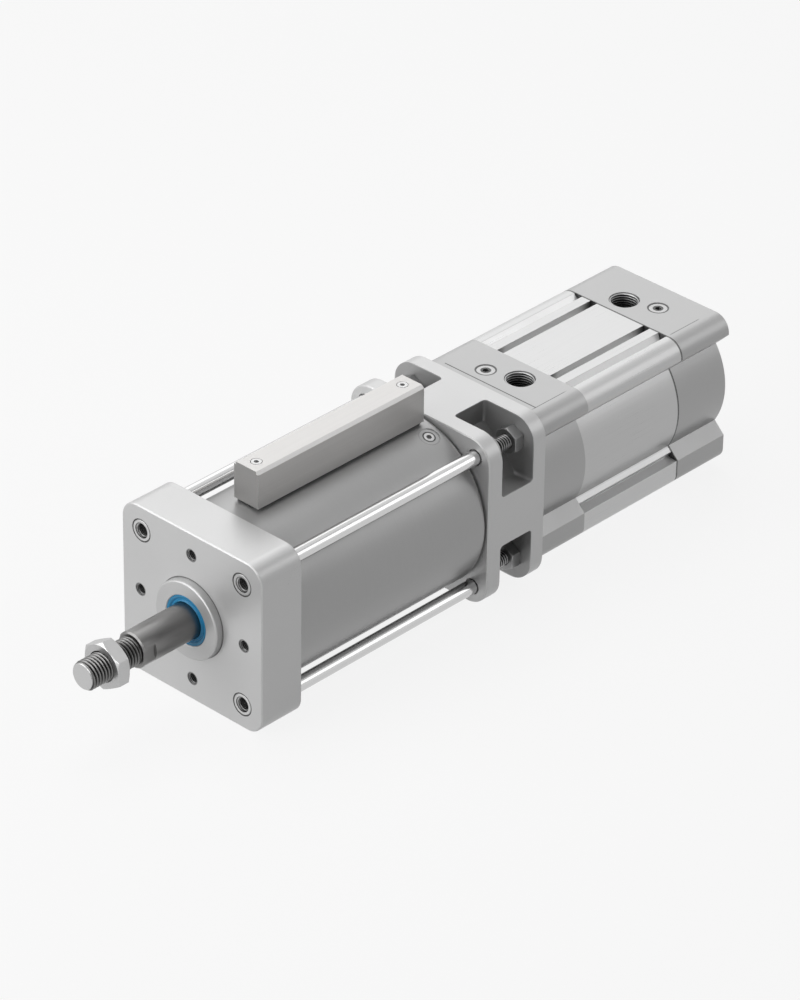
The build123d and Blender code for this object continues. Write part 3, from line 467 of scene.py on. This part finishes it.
def plugMarks(s, x, y, z, body, height):
    # brake tube: dark gap round the plug and the fine edge of its spot face
    v = {"lean": 19.4, "station": 193.5, "gap": 3.75, "gapWidth": 0.9, "face": 7.0, "faceWidth": 0.5,
         "faceShare": 0.45, "upper": 30.0, "ink": 0.9}
    lean = math.radians(v["lean"])
    away = reach(x * math.cos(lean) - z * math.sin(lean), y, 0.0, v["station"])
    edge = near(away, v["face"], v["faceWidth"]) * v["faceShare"]
    lines = near(away, v["gap"], v["gapWidth"]).most(edge) * z.rise(v["upper"], 1.0)
    return s.blendColour(lines * v["ink"], body, lineValues["dark"]), height - lines


def barMarks(s, x, y, z, body, height):
    # air bar: painted shade on its ends and, a little, low on its sides, and a painted highlight on the
    # chamfers along the top
    v = {"front": 48.3, "rear": 198.3, "end": 0.25, "bottom": 62.8, "shade": 9.0, "shadeShare": 0.25,
         "share": 0.72, "paintedShade": grey(0.09, 0.02), "chamferIn": 8.7, "chamferLow": 87.5, "soft": 0.2,
         "chamferShare": 0.7, "pale": grey(0.97, 0.01)}
    ends = (1.0 - y.rise(v["front"], v["end"])) + y.rise(v["rear"] - v["end"], v["end"])
    low = (1.0 - z.rise(v["bottom"], v["shade"])) * v["shadeShare"]
    body = s.blendColour(ends.clip().most(low) * v["share"], body, v["paintedShade"])
    chamfer = abs(x).rise(v["chamferIn"], v["soft"]) * z.rise(v["chamferLow"], v["soft"])
    # painted highlight on the top chamfers
    return s.blendColour(chamfer * v["chamferShare"], body, v["pale"]), height


def windowMarks(s, x, y, z, body, height):
    # coupling housing: painted shade inside its windows, darker than the pale outside
    v = {"front": 218.0, "rear": 247.8, "outside": 60.9, "soft": 0.5, "share": 0.55, "paintedWindowShade": grey(0.24)}
    inside = 1.0 - abs(x).most(abs(z)).rise(v["outside"], v["soft"])
    inside = inside * between(y, v["front"], v["rear"], v["soft"])
    return s.blendColour(inside * v["share"], body, v["paintedWindowShade"]), height


bronzeLook = {"colour": (0.42, 0.29, 0.14, 1.0), "grainScale": 2500.0, "cloud": 0.4, "grain": 0.5,
              "metallic": 0.8, "roughness": 0.45}
blueLook = {"colour": (0.006, 0.23, 0.45, 1.0), "grainScale": 1800.0, "cloud": 0.3, "grain": 0.3,
            "metallic": 0.0, "roughness": 0.38}
rubberLook = {"colour": (0.02, 0.02, 0.022, 1.0), "grainScale": 2200.0, "cloud": 0.4, "grain": 0.4,
              "metallic": 0.0, "roughness": 0.6}
finishes = {
    "cast": metalFinish("castAluminium", castLook),
    "housing": metalFinish("castCouplingHousing", castLook, windowMarks),
    "face": metalFinish("machinedFrontCap", castLook, faceMarks),
    "collar": metalFinish("turnedCollar", collarLook),
    "cap": metalFinish("cylinderCapAluminium", dict(castLook, colour=grey(0.48)), capMarks),
    "tube": metalFinish("anodisedTube", tubeLook, plugMarks),
    "profile": metalFinish("extrudedBarrel", profileLook, barrelMarks),
    "bar": metalFinish("anodisedBar", barLook, barMarks),
    "chrome": metalFinish("polishedSteel", chromeLook),
    "rod": metalFinish("groundRodSteel", rodLook, tipMarks),
    "cushion": metalFinish("cushionScrewSteel", dict(zincLook, colour=grey(0.50), metallic=0.6), screwMarks),
    "zinc": metalFinish("zincSteel", zincLook),
    "nut": metalFinish("couplingNutSteel", dict(zincLook, colour=grey(0.30))),
    "thread": metalFinish("threadSteel", threadLook, threadRelief),
    "hole": metalFinish("threadedHoleSteel", holeLook, threadRelief),
    "turned": metalFinish("turnedAluminium", turnedLook),
    "steel": metalFinish("turnedSteel", steelLook),
    "spring": metalFinish("springSteel", springLook),
    "bronze": softFinish("sinteredBronze", bronzeLook),
    "blue": softFinish("bluePolyurethane", blueLook),
    "black": softFinish("blackRubber", rubberLook),
}
slotFinish = {"cast_aluminium": "cast", "anodised_tube": "tube", "anodised_bar": "bar",
              "turned_aluminium": "turned", "polished_steel": "chrome", "rod_steel": "rod",
              "turned_steel": "steel", "spring_steel": "spring", "zinc_steel": "zinc", "bronze": "bronze",
              "blue_polyurethane": "blue", "black_rubber": "black"}
nodeFinish = {"cylinder_front_cap": "cap", "cylinder_rear_cap": "cap", "cylinder_profile": "profile",
              "front_bearing_cap": "face", "coupling_housing": "housing", "bearing_cartridge": "collar",
              "front_cushion_screw": "cushion", "rear_cushion_screw": "cushion"}
for part in frame["record"]["subparts"]:
    node = frame["nodes"][part["node"]]
    finish = finishes[nodeFinish.get(part["node"], slotFinish[part["material_slot"]])]
    if not node.material_slots:
        node.data.materials.append(finish)
    for holder in node.material_slots:
        holder.material = finish
print("finishes set:", len(finishes))


rodValues = {"tip": -94.0, "tipRadius": 9.2, "tipBevel": 0.55, "innerShare": 0.45, "cone": 0.9,
             "crest": 9.98, "root": 8.5, "pitch": 2.5, "shoulder": -52.5, "neck": 9.1, "blankStart": 0.9,
             "blankWidth": 0.6, "bodyRadius": 12.5, "lip": 11.4, "lipEnd": -51.5, "flat": 11.0,
             "flatStart": -48.5, "flatEnd": -42.5, "nose": -20.0, "middle": 120.0, "pistonFront": 364.35,
             "stub": 9.0, "end": 416.0, "steps": 96, "rowsPerTurn": 10, "reliefLow": 0.15,
             "reliefPower": 1.5, "neckRelief": 0.4}


def rodSurface(v):
    # r(y, a) = root + (crest - root) * thread(y, a), kept under the tip's cone
    # behind the shoulder r = min(R, flat / |cos a|), and beyond the flats r = R
    angle = around(v["steps"])
    ones = np.ones_like(angle)
    face = v["tipRadius"] - v["tipBevel"]
    rows, stations = [0 * ones, v["tipRadius"] * v["innerShare"] * ones, face * ones], [v["tip"]] * 3
    y = np.arange(v["tip"], v["shoulder"] + 1e-6, v["pitch"] / v["rowsPerTurn"])
    lift = threadHeight(y, angle, v["pitch"])
    radius = v["root"] + (v["crest"] - v["root"]) * lift
    radius = np.minimum(radius, (face + (y - v["tip"]) * v["cone"])[:, None])
    blank = np.clip((y - (v["shoulder"] - v["blankStart"])) / v["blankWidth"], 0, 1)[:, None]
    rows += list(radius * (1 - blank) + v["neck"] * blank)
    stations += list(y)
    # relief paints shade into the thread roots and onto the neck
    bright = np.maximum(lift ** v["reliefPower"], v["neckRelief"] * blank)
    relief = [ones] * 3 + list(v["reliefLow"] + (1 - v["reliefLow"]) * bright)
    sides = v["flat"] / np.maximum(np.abs(np.cos(angle)), 1e-6)
    shaft = (("neck", "shoulder", False), ("lip", "shoulder", True), ("bodyRadius", "lipEnd", True),
             ("bodyRadius", "flatStart", True), ("bodyRadius", "flatEnd", True),
             ("bodyRadius", "flatEnd", False), ("bodyRadius", "nose", False), ("bodyRadius", "middle", False),
             ("bodyRadius", "pistonFront", False), ("stub", "pistonFront", False), ("stub", "end", False))
    for r, station, cut in shaft:
        rows.append(np.minimum(v[r], sides) if cut else v[r] * ones)
        stations.append(v[station])
    rows.append(0 * ones)
    stations.append(v["end"])
    relief += [ones] * (len(rows) - len(relief))
    return withRelief(turnedPoints(np.array(rows), np.array(stations), angle), np.array(relief))


makePiece("threadedRod", [(rodSurface(rodValues), False, True)],
          "rod", finishes["rod"], ["piston_rod"])


def nutSurface(v, centre=(0.0, 0.0)):
    # closed ring: r(y, a) = min(hexagon(a), bevel cone(y)) outside, and a countersunk bore inside
    angle = around(v["steps"])
    ones = np.ones_like(angle)
    corner = v["across"] / math.sqrt(3)
    rows, stations = [v["bore"] * ones, (v["bore"] + v["sink"]) * ones], [v["front"] + v["sink"], v["front"]]
    hexagon = hexReach(angle, v["across"])
    lift = np.linspace(0, 1, v["bevelRows"])
    cone = corner - v["bevelWidth"] * (1 - lift)
    for share, r in zip(lift, cone):
        rows.append(np.minimum(hexagon, r))
        stations.append(v["front"] + v["bevelHeight"] * share)
    for share, r in zip(lift[::-1], cone[::-1]):
        rows.append(np.minimum(hexagon, r))
        stations.append(v["rear"] - v["bevelHeight"] * share)
    rows += [(v["bore"] + v["sink"]) * ones, v["bore"] * ones]
    stations += [v["rear"], v["rear"] - v["sink"]]
    return turnedPoints(np.array(rows), np.array(stations), angle, centre)


lockNutValues = {"across": 30.0, "front": -78.0, "rear": -68.0, "bore": 10.02, "sink": 0.75, "bevelRows": 7,
                 "bevelWidth": 2.4, "bevelHeight": 1.2, "steps": 144, "smoothAngle": 24.0}
makePiece("lockNut", [(nutSurface(lockNutValues), True, True)], "lock_nut", finishes["zinc"],
          ["rod_lock_nut"], lockNutValues["smoothAngle"])

couplingNutValues = {"across": 17.0, "front": 239.8, "rear": 247.8, "bore": 5.03, "sink": 0.5, "bevelRows": 7,
                     "bevelWidth": 1.3, "bevelHeight": 0.7, "steps": 96, "smoothAngle": 24.0, "spacing": 89.0}
corners = cornerCentres(couplingNutValues["spacing"])
makePiece("couplingNuts", [(nutSurface(couplingNutValues, c), True, True) for c in corners],
          "housing", finishes["nut"], ["coupling_nuts"], couplingNutValues["smoothAngle"])


studValues = {"front": 230.8, "rear": 273.8, "crest": 4.97, "root": 3.9, "pitch": 2.0, "tip": 0.8,
              "steps": 40, "rowsPerTurn": 8, "reliefLow": 0.05, "reliefPower": 2}


def studSurface(v, centre):
    # threaded bar, closed at both ends: r = root + (crest - root) * thread, under a cone at the front tip
    angle = around(v["steps"])
    y = np.arange(v["front"], v["rear"], v["pitch"] / v["rowsPerTurn"])
    lift = threadHeight(y, angle, v["pitch"])
    radius = v["root"] + (v["crest"] - v["root"]) * lift
    radius = np.minimum(radius, (v["crest"] - v["tip"] + (y - v["front"]))[:, None])
    ends = np.zeros((1, v["steps"]))
    stations = np.concatenate([[y[0]], y, [y[-1]]])
    points = turnedPoints(np.vstack([ends, radius, ends]), stations, angle, centre)
    # relief paints shade into the thread roots
    bright = v["reliefLow"] + (1 - v["reliefLow"]) * lift ** v["reliefPower"]
    return withRelief(points, np.vstack([ends + 1, bright, ends + 1]))


makePiece("couplingStuds", [(studSurface(studValues, c), False, True) for c in corners],
          "housing", finishes["thread"], ["coupling_studs"])


sleeveValues = {"outer": 7.46, "rim": 0.35, "crest": 4.3, "major": 5.0, "sink": 0.9, "mouth": 0.495,
                "lip": 0.01, "lipRelief": 0.1, "pitch": 1.5, "length": 20.0, "lit": 3.2,
                "threadDepth": 18.0, "steps": 48, "rowsPerTurn": 8, "face": 0.0, "inwards": 1,
                "shankRadius": 0.0, "shankEnd": 0.0}


def holeRelief(depth, lift, start, lit, fade=1.5):
    # painted shade: crests keep their colour near the mouth and darken deeper in, relief = thread height x (1
    # - depth / lit) ^ fade
    return lift * np.clip(1 - (depth - start) / lit, 0, 1)[:, None] ** fade


def sleeveSurface(v, centre):
    # threaded sleeve seen end on: outside wall, rim, countersink and an inner thread
    # r = major - (major - crest) * thread, with a screw's shank behind it where a radius is given
    angle = around(v["steps"])
    ones = np.ones_like(angle)
    depth = np.arange(v["sink"], v["threadDepth"], v["pitch"] / v["rowsPerTurn"])
    lift = threadHeight(depth, angle, v["pitch"])
    inner = v["major"] - (v["major"] - v["crest"]) * lift
    opening = v["major"] + v["mouth"]
    rows = [v["outer"], v["outer"], v["outer"] - v["rim"], opening, opening - v["lip"]]
    stations = [v["length"], v["rim"], 0.0, 0.0, v["lip"]]
    # relief paints shade on the countersink's lip and deep in the thread
    relief = [1, 1, 1, 1, v["lipRelief"]]
    if v["shankRadius"]:
        rows, relief = [v["shankRadius"]] * 2 + rows, [1, 1] + relief
        stations = [v["shankEnd"], v["length"]] + stations
    rows, stations, relief = [0] + rows, stations[:1] + stations, [1] + relief
    rows = [r * ones for r in rows] + list(inner) + [v["crest"] * ones, 0 * ones]
    relief = [r * ones for r in relief] + list(holeRelief(depth, lift, v["sink"], v["lit"])) + [0 * ones] * 2
    stations = np.array(stations + list(depth) + [v["threadDepth"]] * 2)
    points = turnedPoints(np.array(rows), v["face"] + v["inwards"] * stations, angle, centre)
    return withRelief(points, np.array(relief))


makePiece("mountingSleeves", [(sleeveSurface(sleeveValues, c), False, True) for c in corners],
          "housing", finishes["hole"], ["mounting_sleeves"])
rearScrewValues = dict(sleeveValues, threadDepth=16.0, face=448.5, inwards=-1, shankRadius=4.38,
                       shankEnd=69.8)
makePiece("rearCapScrews", [(sleeveSurface(rearScrewValues, c), False, True) for c in corners],
          "housing", finishes["hole"], ["rear_cap_screws"])


def threadInsert(v, place):
    # thread ridges lining a hole: closed ring between the wall and r = wall - height * thread
    # place maps radius, depth and angle to points
    angle = around(v["steps"])
    depth = np.arange(v["start"], v["length"], v["pitch"] / v["rowsPerTurn"])
    lift = threadHeight(depth, angle, v["pitch"])
    inner = v["wall"] - v["gap"] - v["height"] * lift
    wall = np.full((1, v["steps"]), v["wall"])
    stations = np.concatenate([[v["start"]], depth, [depth[-1]]])
    # relief paints shade in the roots and deeper in the hole
    relief = np.vstack([0 * wall, holeRelief(depth, lift, v["start"], v["lit"]), 0 * wall])
    return withRelief(place(np.vstack([wall, inner, wall]), stations, angle), relief)


faceHoleValues = {"wall": 3.99, "gap": 0.02, "height": 0.62, "pitch": 1.25, "start": 0.6, "length": 15.5,
                  "lit": 2.6, "steps": 40, "rowsPerTurn": 8, "circle": 46.0}
faceCentres = [(faceHoleValues["circle"] * math.cos(a), faceHoleValues["circle"] * math.sin(a))
               for a in around(4)]
faceThreads = [threadInsert(faceHoleValues, lambda r, d, a, c=c: turnedPoints(r, d, a, c))
               for c in faceCentres]
makePiece("faceHoleThreads", [(grid, True, True) for grid in faceThreads],
          "housing", finishes["hole"])

portValues = {"wall": 10.46, "gap": 0.02, "height": 1.15, "pitch": 1.81, "start": 0.5, "length": 14.8,
              "lit": 11.0, "steps": 72, "rowsPerTurn": 10, "top": 55.0,
              "places": ((9.5, 291.2), (-11.0, 417.0))}
portThreads = [threadInsert(portValues, lambda r, d, a, c=c: uprightPoints(r, portValues["top"] - d, a, c))
               for c in portValues["places"]]
makePiece("portThreads", [(grid, True, True) for grid in portThreads],
          "housing", finishes["hole"])

releaseValues = {"wall": 6.56, "gap": 0.02, "height": 0.8, "pitch": 1.34, "start": 1.0, "length": 10.8,
                 "lit": 11.0, "steps": 56, "rowsPerTurn": 10, "face": -10.7, "station": 123.1,
                 "level": 76.2}


def sidewaysPoints(radius, depth, angle):
    # the same ring about an axis along X: point = (face + d, y + r cos a, z + r sin a)
    v = releaseValues
    turned = turnedPoints(radius, depth, angle)
    x, y, z = v["face"] + turned[..., 1], v["station"] + turned[..., 0], v["level"] + turned[..., 2]
    return np.stack([x, y, z], -1)


makePiece("releasePortThreads", [(threadInsert(releaseValues, sidewaysPoints), True, True)],
          "housing", finishes["hole"])


collarValues = {"outer": 27.5, "rounding": 1.5, "front": -5.5, "shank": 24.0, "rear": 20.0, "steps": 144,
                "wiperBore": 17.5, "wiperRear": 2.5, "bushBore": 15.07, "mouth": 0.5, "roundRows": 9}


def collarSurface(v):
    # closed profile carried round the rod, with a stepped bore and a rounded outer edge:
    # r = outer - rounding (1 - sin t), y = front + rounding (1 - cos t)
    turn = np.linspace(0, math.pi / 2, v["roundRows"])
    edgeRadius = v["outer"] - v["rounding"] * (1 - np.sin(turn))
    edgeStation = v["front"] + v["rounding"] * (1 - np.cos(turn))
    outline = list(zip(edgeRadius, edgeStation)) + [
        (v["outer"], 0.0), (v["shank"], 0.0), (v["shank"], v["rear"]), (v["bushBore"], v["rear"]),
        (v["bushBore"], v["wiperRear"]), (v["wiperBore"], v["wiperRear"]),
        (v["wiperBore"], v["front"] + v["mouth"]), (v["wiperBore"] + v["mouth"], v["front"])]
    radius, station = np.array(outline).T
    return turnedPoints(radius, station, around(v["steps"]))


makePiece("bearingCollar", [(collarSurface(collarValues), True, True)],
          "housing", finishes["collar"], ["bearing_cartridge"])


wiperValues = {"lip": 12.56, "outer": 17.46, "front": -5.1, "rear": 2.5, "rim": 0.3, "steps": 96,
               "roll": ((0.0, 1.0), (0.25, 0.35), (0.7, 0.12), (1.15, 0.5), (1.6, 1.1), (2.1, 1.15),
                        (2.6, 0.7), (3.0, 0.25), (3.5, 0.05))}


def wiperSurface(v):
    # closed profile carried round the rod: a rolled lip at the rod, a valley, and a flat outer rim
    # roll: steps outwards from the lip and back from the front
    outline = [(v["lip"], v["rear"])]
    outline += [(v["lip"] + out, v["front"] + back) for out, back in v["roll"]]
    outline += [(v["outer"] - v["rim"], v["front"]), (v["outer"], v["front"] + v["rim"])]
    outline += [(v["outer"], v["rear"])]
    radius, station = np.array(outline).T
    return turnedPoints(radius, station, around(v["steps"]))


makePiece("rodWiper", [(wiperSurface(wiperValues), True, True)],
          "housing", finishes["blue"], ["rod_wiper_seal"])


discValues = {"inner": 38.0, "outer": 51.5, "thickness": 3.0, "rise": 1.9, "first": 47.1, "pitch": 5.0,
              "count": 10, "chamfer": 0.3, "steps": 96, "fixedEnd": 0.047, "keep": 0.918}


def discSurface(v, number):
    # one conical disc, carried round the rod: its outer edge stands back by the rise,
    # and every second disc is turned over
    base = v["first"] + number * v["pitch"]
    inner, outer = (base, base + v["rise"]) if number % 2 == 0 else (base + v["rise"], base)
    c, t = v["chamfer"], v["thickness"]
    outline = [(v["inner"] + c, inner), (v["outer"] - c, outer), (v["outer"], outer + c),
               (v["outer"], outer + t - c), (v["outer"] - c, outer + t), (v["inner"] + c, inner + t),
               (v["inner"], inner + t - c), (v["inner"], inner + c)]
    radius, station = np.array(outline).T
    return turnedPoints(radius, station, around(v["steps"]))


discGrids = [(discSurface(discValues, n), True, True) for n in range(discValues["count"])]
discs = makePiece("discSprings", discGrids, "housing", finishes["spring"], ["disc_springs"])
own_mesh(discs)


view = {"azimuth": 43.1793, "elevation": 31.9786, "roll": 0.8569, "distance": 3433.2,
        "aim": (0.0, 200.0, 0.0), "right": -7.7798, "up": -1.7274, "focal": 5291.2, "frameHeight": 1000.0,
        "sensor": 36.0, "clipNear": 0.1, "clipFar": 100.0}


def makeCamera(v):
    # eye = aim + right * tx + up * ty + back * distance, with the axes turned by azimuth, elevation and roll
    a, e, r = (math.radians(v[k]) for k in ("azimuth", "elevation", "roll"))
    back = Vector((math.sin(a) * math.cos(e), -math.cos(a) * math.cos(e), math.sin(e)))
    flatRight = Vector((0, 0, 1)).cross(back).normalized()
    flatUp = back.cross(flatRight)
    right = flatRight * math.cos(r) + flatUp * math.sin(r)
    up = flatUp * math.cos(r) - flatRight * math.sin(r)
    eye = (Vector(v["aim"]) + right * v["right"] + up * v["up"] + back * v["distance"]) * mm
    data = bpy.data.cameras.new("photoCamera")
    data.sensor_width = v["sensor"]
    data.lens = v["focal"] * v["sensor"] / v["frameHeight"]
    data.clip_start, data.clip_end = v["clipNear"], v["clipFar"]
    camera = bpy.data.objects.new("photoCamera", data)
    camera.matrix_world = Matrix((*zip(right, up, back, eye), (0, 0, 0, 1)))
    bpy.context.scene.collection.objects.link(camera)
    bpy.context.scene.camera = camera


makeCamera(view)
print("camera set")


stageValues = {"floorLevel": -62.3, "floorHalf": 30000.0, "floorColour": grey(0.86),
               "floorSpeck": grey(0.84), "speckScale": 14.0, "speckDetail": 3.0, "bounceColour": grey(0.30),
               "whiteShare": 0.86, "skyLight": 0.03, "skyColour": grey(1.0), "darkSide": 0.45,
               "darkFrom": 0.15, "darkTo": 0.50, "darkLow": 0.12, "darkHigh": 0.30}


def seenDirectly(s):
    # 1 for rays from the camera, a reflection or glass, 0 for the light that falls on the object
    kinds = ("Camera", "Glossy", "Transmission")
    rays = [s.add("ShaderNodeLightPath", {}, {}, f"Is {kind} Ray") for kind in kinds]
    return rays[0].most(rays[1]).most(rays[2])


def makeFloor(v):
    # z(x, y) = level over a large square, pale where it is seen and duller for the light it throws back
    s = Shader(bpy.data.materials.new("paleFloor"))
    seen = seenDirectly(s)
    speck = s.noise(s.object(), v["speckScale"], v["speckDetail"])
    colour = s.blendColour(seen, v["bounceColour"], s.blendColour(speck, v["floorSpeck"], v["floorColour"]))
    plain = s.add("ShaderNodeBsdfPrincipled", {}, {
        "Base Color": colour, "Roughness": 1.0, "Specular IOR Level": 0.0})
    white = s.add("ShaderNodeEmission", {}, {"Color": grey(1.0), "Strength": 1.0})
    mixed = s.add("ShaderNodeMixShader", {}, {0: seen * v["whiteShare"], 1: plain, 2: white})
    s.add("ShaderNodeOutputMaterial", {}, {"Surface": mixed})
    corner = np.linspace(-v["floorHalf"], v["floorHalf"], 2)
    gx, gy = np.meshgrid(corner, corner, indexing="ij")
    mesh = bpy.data.meshes.new("floor")
    points = np.stack([gx, gy, 0 * gx + v["floorLevel"]], -1).reshape(-1, 3) * mm
    mesh.from_pydata(points.tolist(), [], [[0, 2, 3, 1]])
    floor = bpy.data.objects.new("floor", mesh)
    bpy.context.scene.collection.objects.link(floor)
    mesh.materials.append(s.owner)


def makeSky(v):
    # even soft light; where it is seen it is white, with an unlit part of the studio high up on the +X side
    world = bpy.data.worlds.new("softSky")
    bpy.context.scene.world = world
    s = Shader(world)
    x, y, z = s.split(s.add("ShaderNodeTexCoord", out="Generated"))
    unlit = x.ramp(v["darkFrom"], v["darkTo"]) * z.ramp(v["darkLow"], v["darkHigh"])
    soft = s.add("ShaderNodeBackground", {}, {"Color": v["skyColour"], "Strength": v["skyLight"]})
    white = s.add("ShaderNodeBackground", {}, {"Color": grey(1.0), "Strength": 1.0})
    dark = s.add("ShaderNodeBackground", {}, {"Color": grey(1.0), "Strength": v["darkSide"]})
    shown = s.add("ShaderNodeMixShader", {}, {0: unlit, 1: white, 2: dark})
    mixed = s.add("ShaderNodeMixShader", {}, {0: seenDirectly(s), 1: soft, 2: shown})
    s.add("ShaderNodeOutputWorld", {}, {"Surface": mixed})


lampAim = (0.0, 180.0, 0.0)
lamps = {
    "topSoft": {"place": (-500.0, 300.0, 1650.0), "size": 1400.0, "power": 12.0},
    "backRight": {"place": (1100.0, 1400.0, 900.0), "size": 1000.0, "power": 4.5},
    "backSheen": {"place": (-1450.0, 1750.0, 1325.0), "size": 1600.0, "power": 5.8},
    "frontLeftKey": {"place": (-1300.0, -1500.0, 900.0), "size": 1800.0, "power": 21.0},
    "frontFill": {"place": (0.0, -1900.0, 500.0), "size": 1500.0, "power": 17.5},
}


def makeLamp(name, v):
    # square soft box turned towards the object
    data = bpy.data.lights.new(name, "AREA")
    data.size = v["size"] * mm
    data.energy = v["power"]
    lamp = bpy.data.objects.new(name, data)
    lamp.location = Vector(v["place"]) * mm
    lamp.rotation_mode = "QUATERNION"
    lamp.rotation_quaternion = (Vector(lampAim) - Vector(v["place"])).to_track_quat("-Z", "Y")
    bpy.context.scene.collection.objects.link(lamp)


makeFloor(stageValues)
makeSky(stageValues)
for lampName, lampValues in lamps.items():
    makeLamp(lampName, lampValues)
bpy.context.scene.view_settings.view_transform = "Standard"
print("stage set")
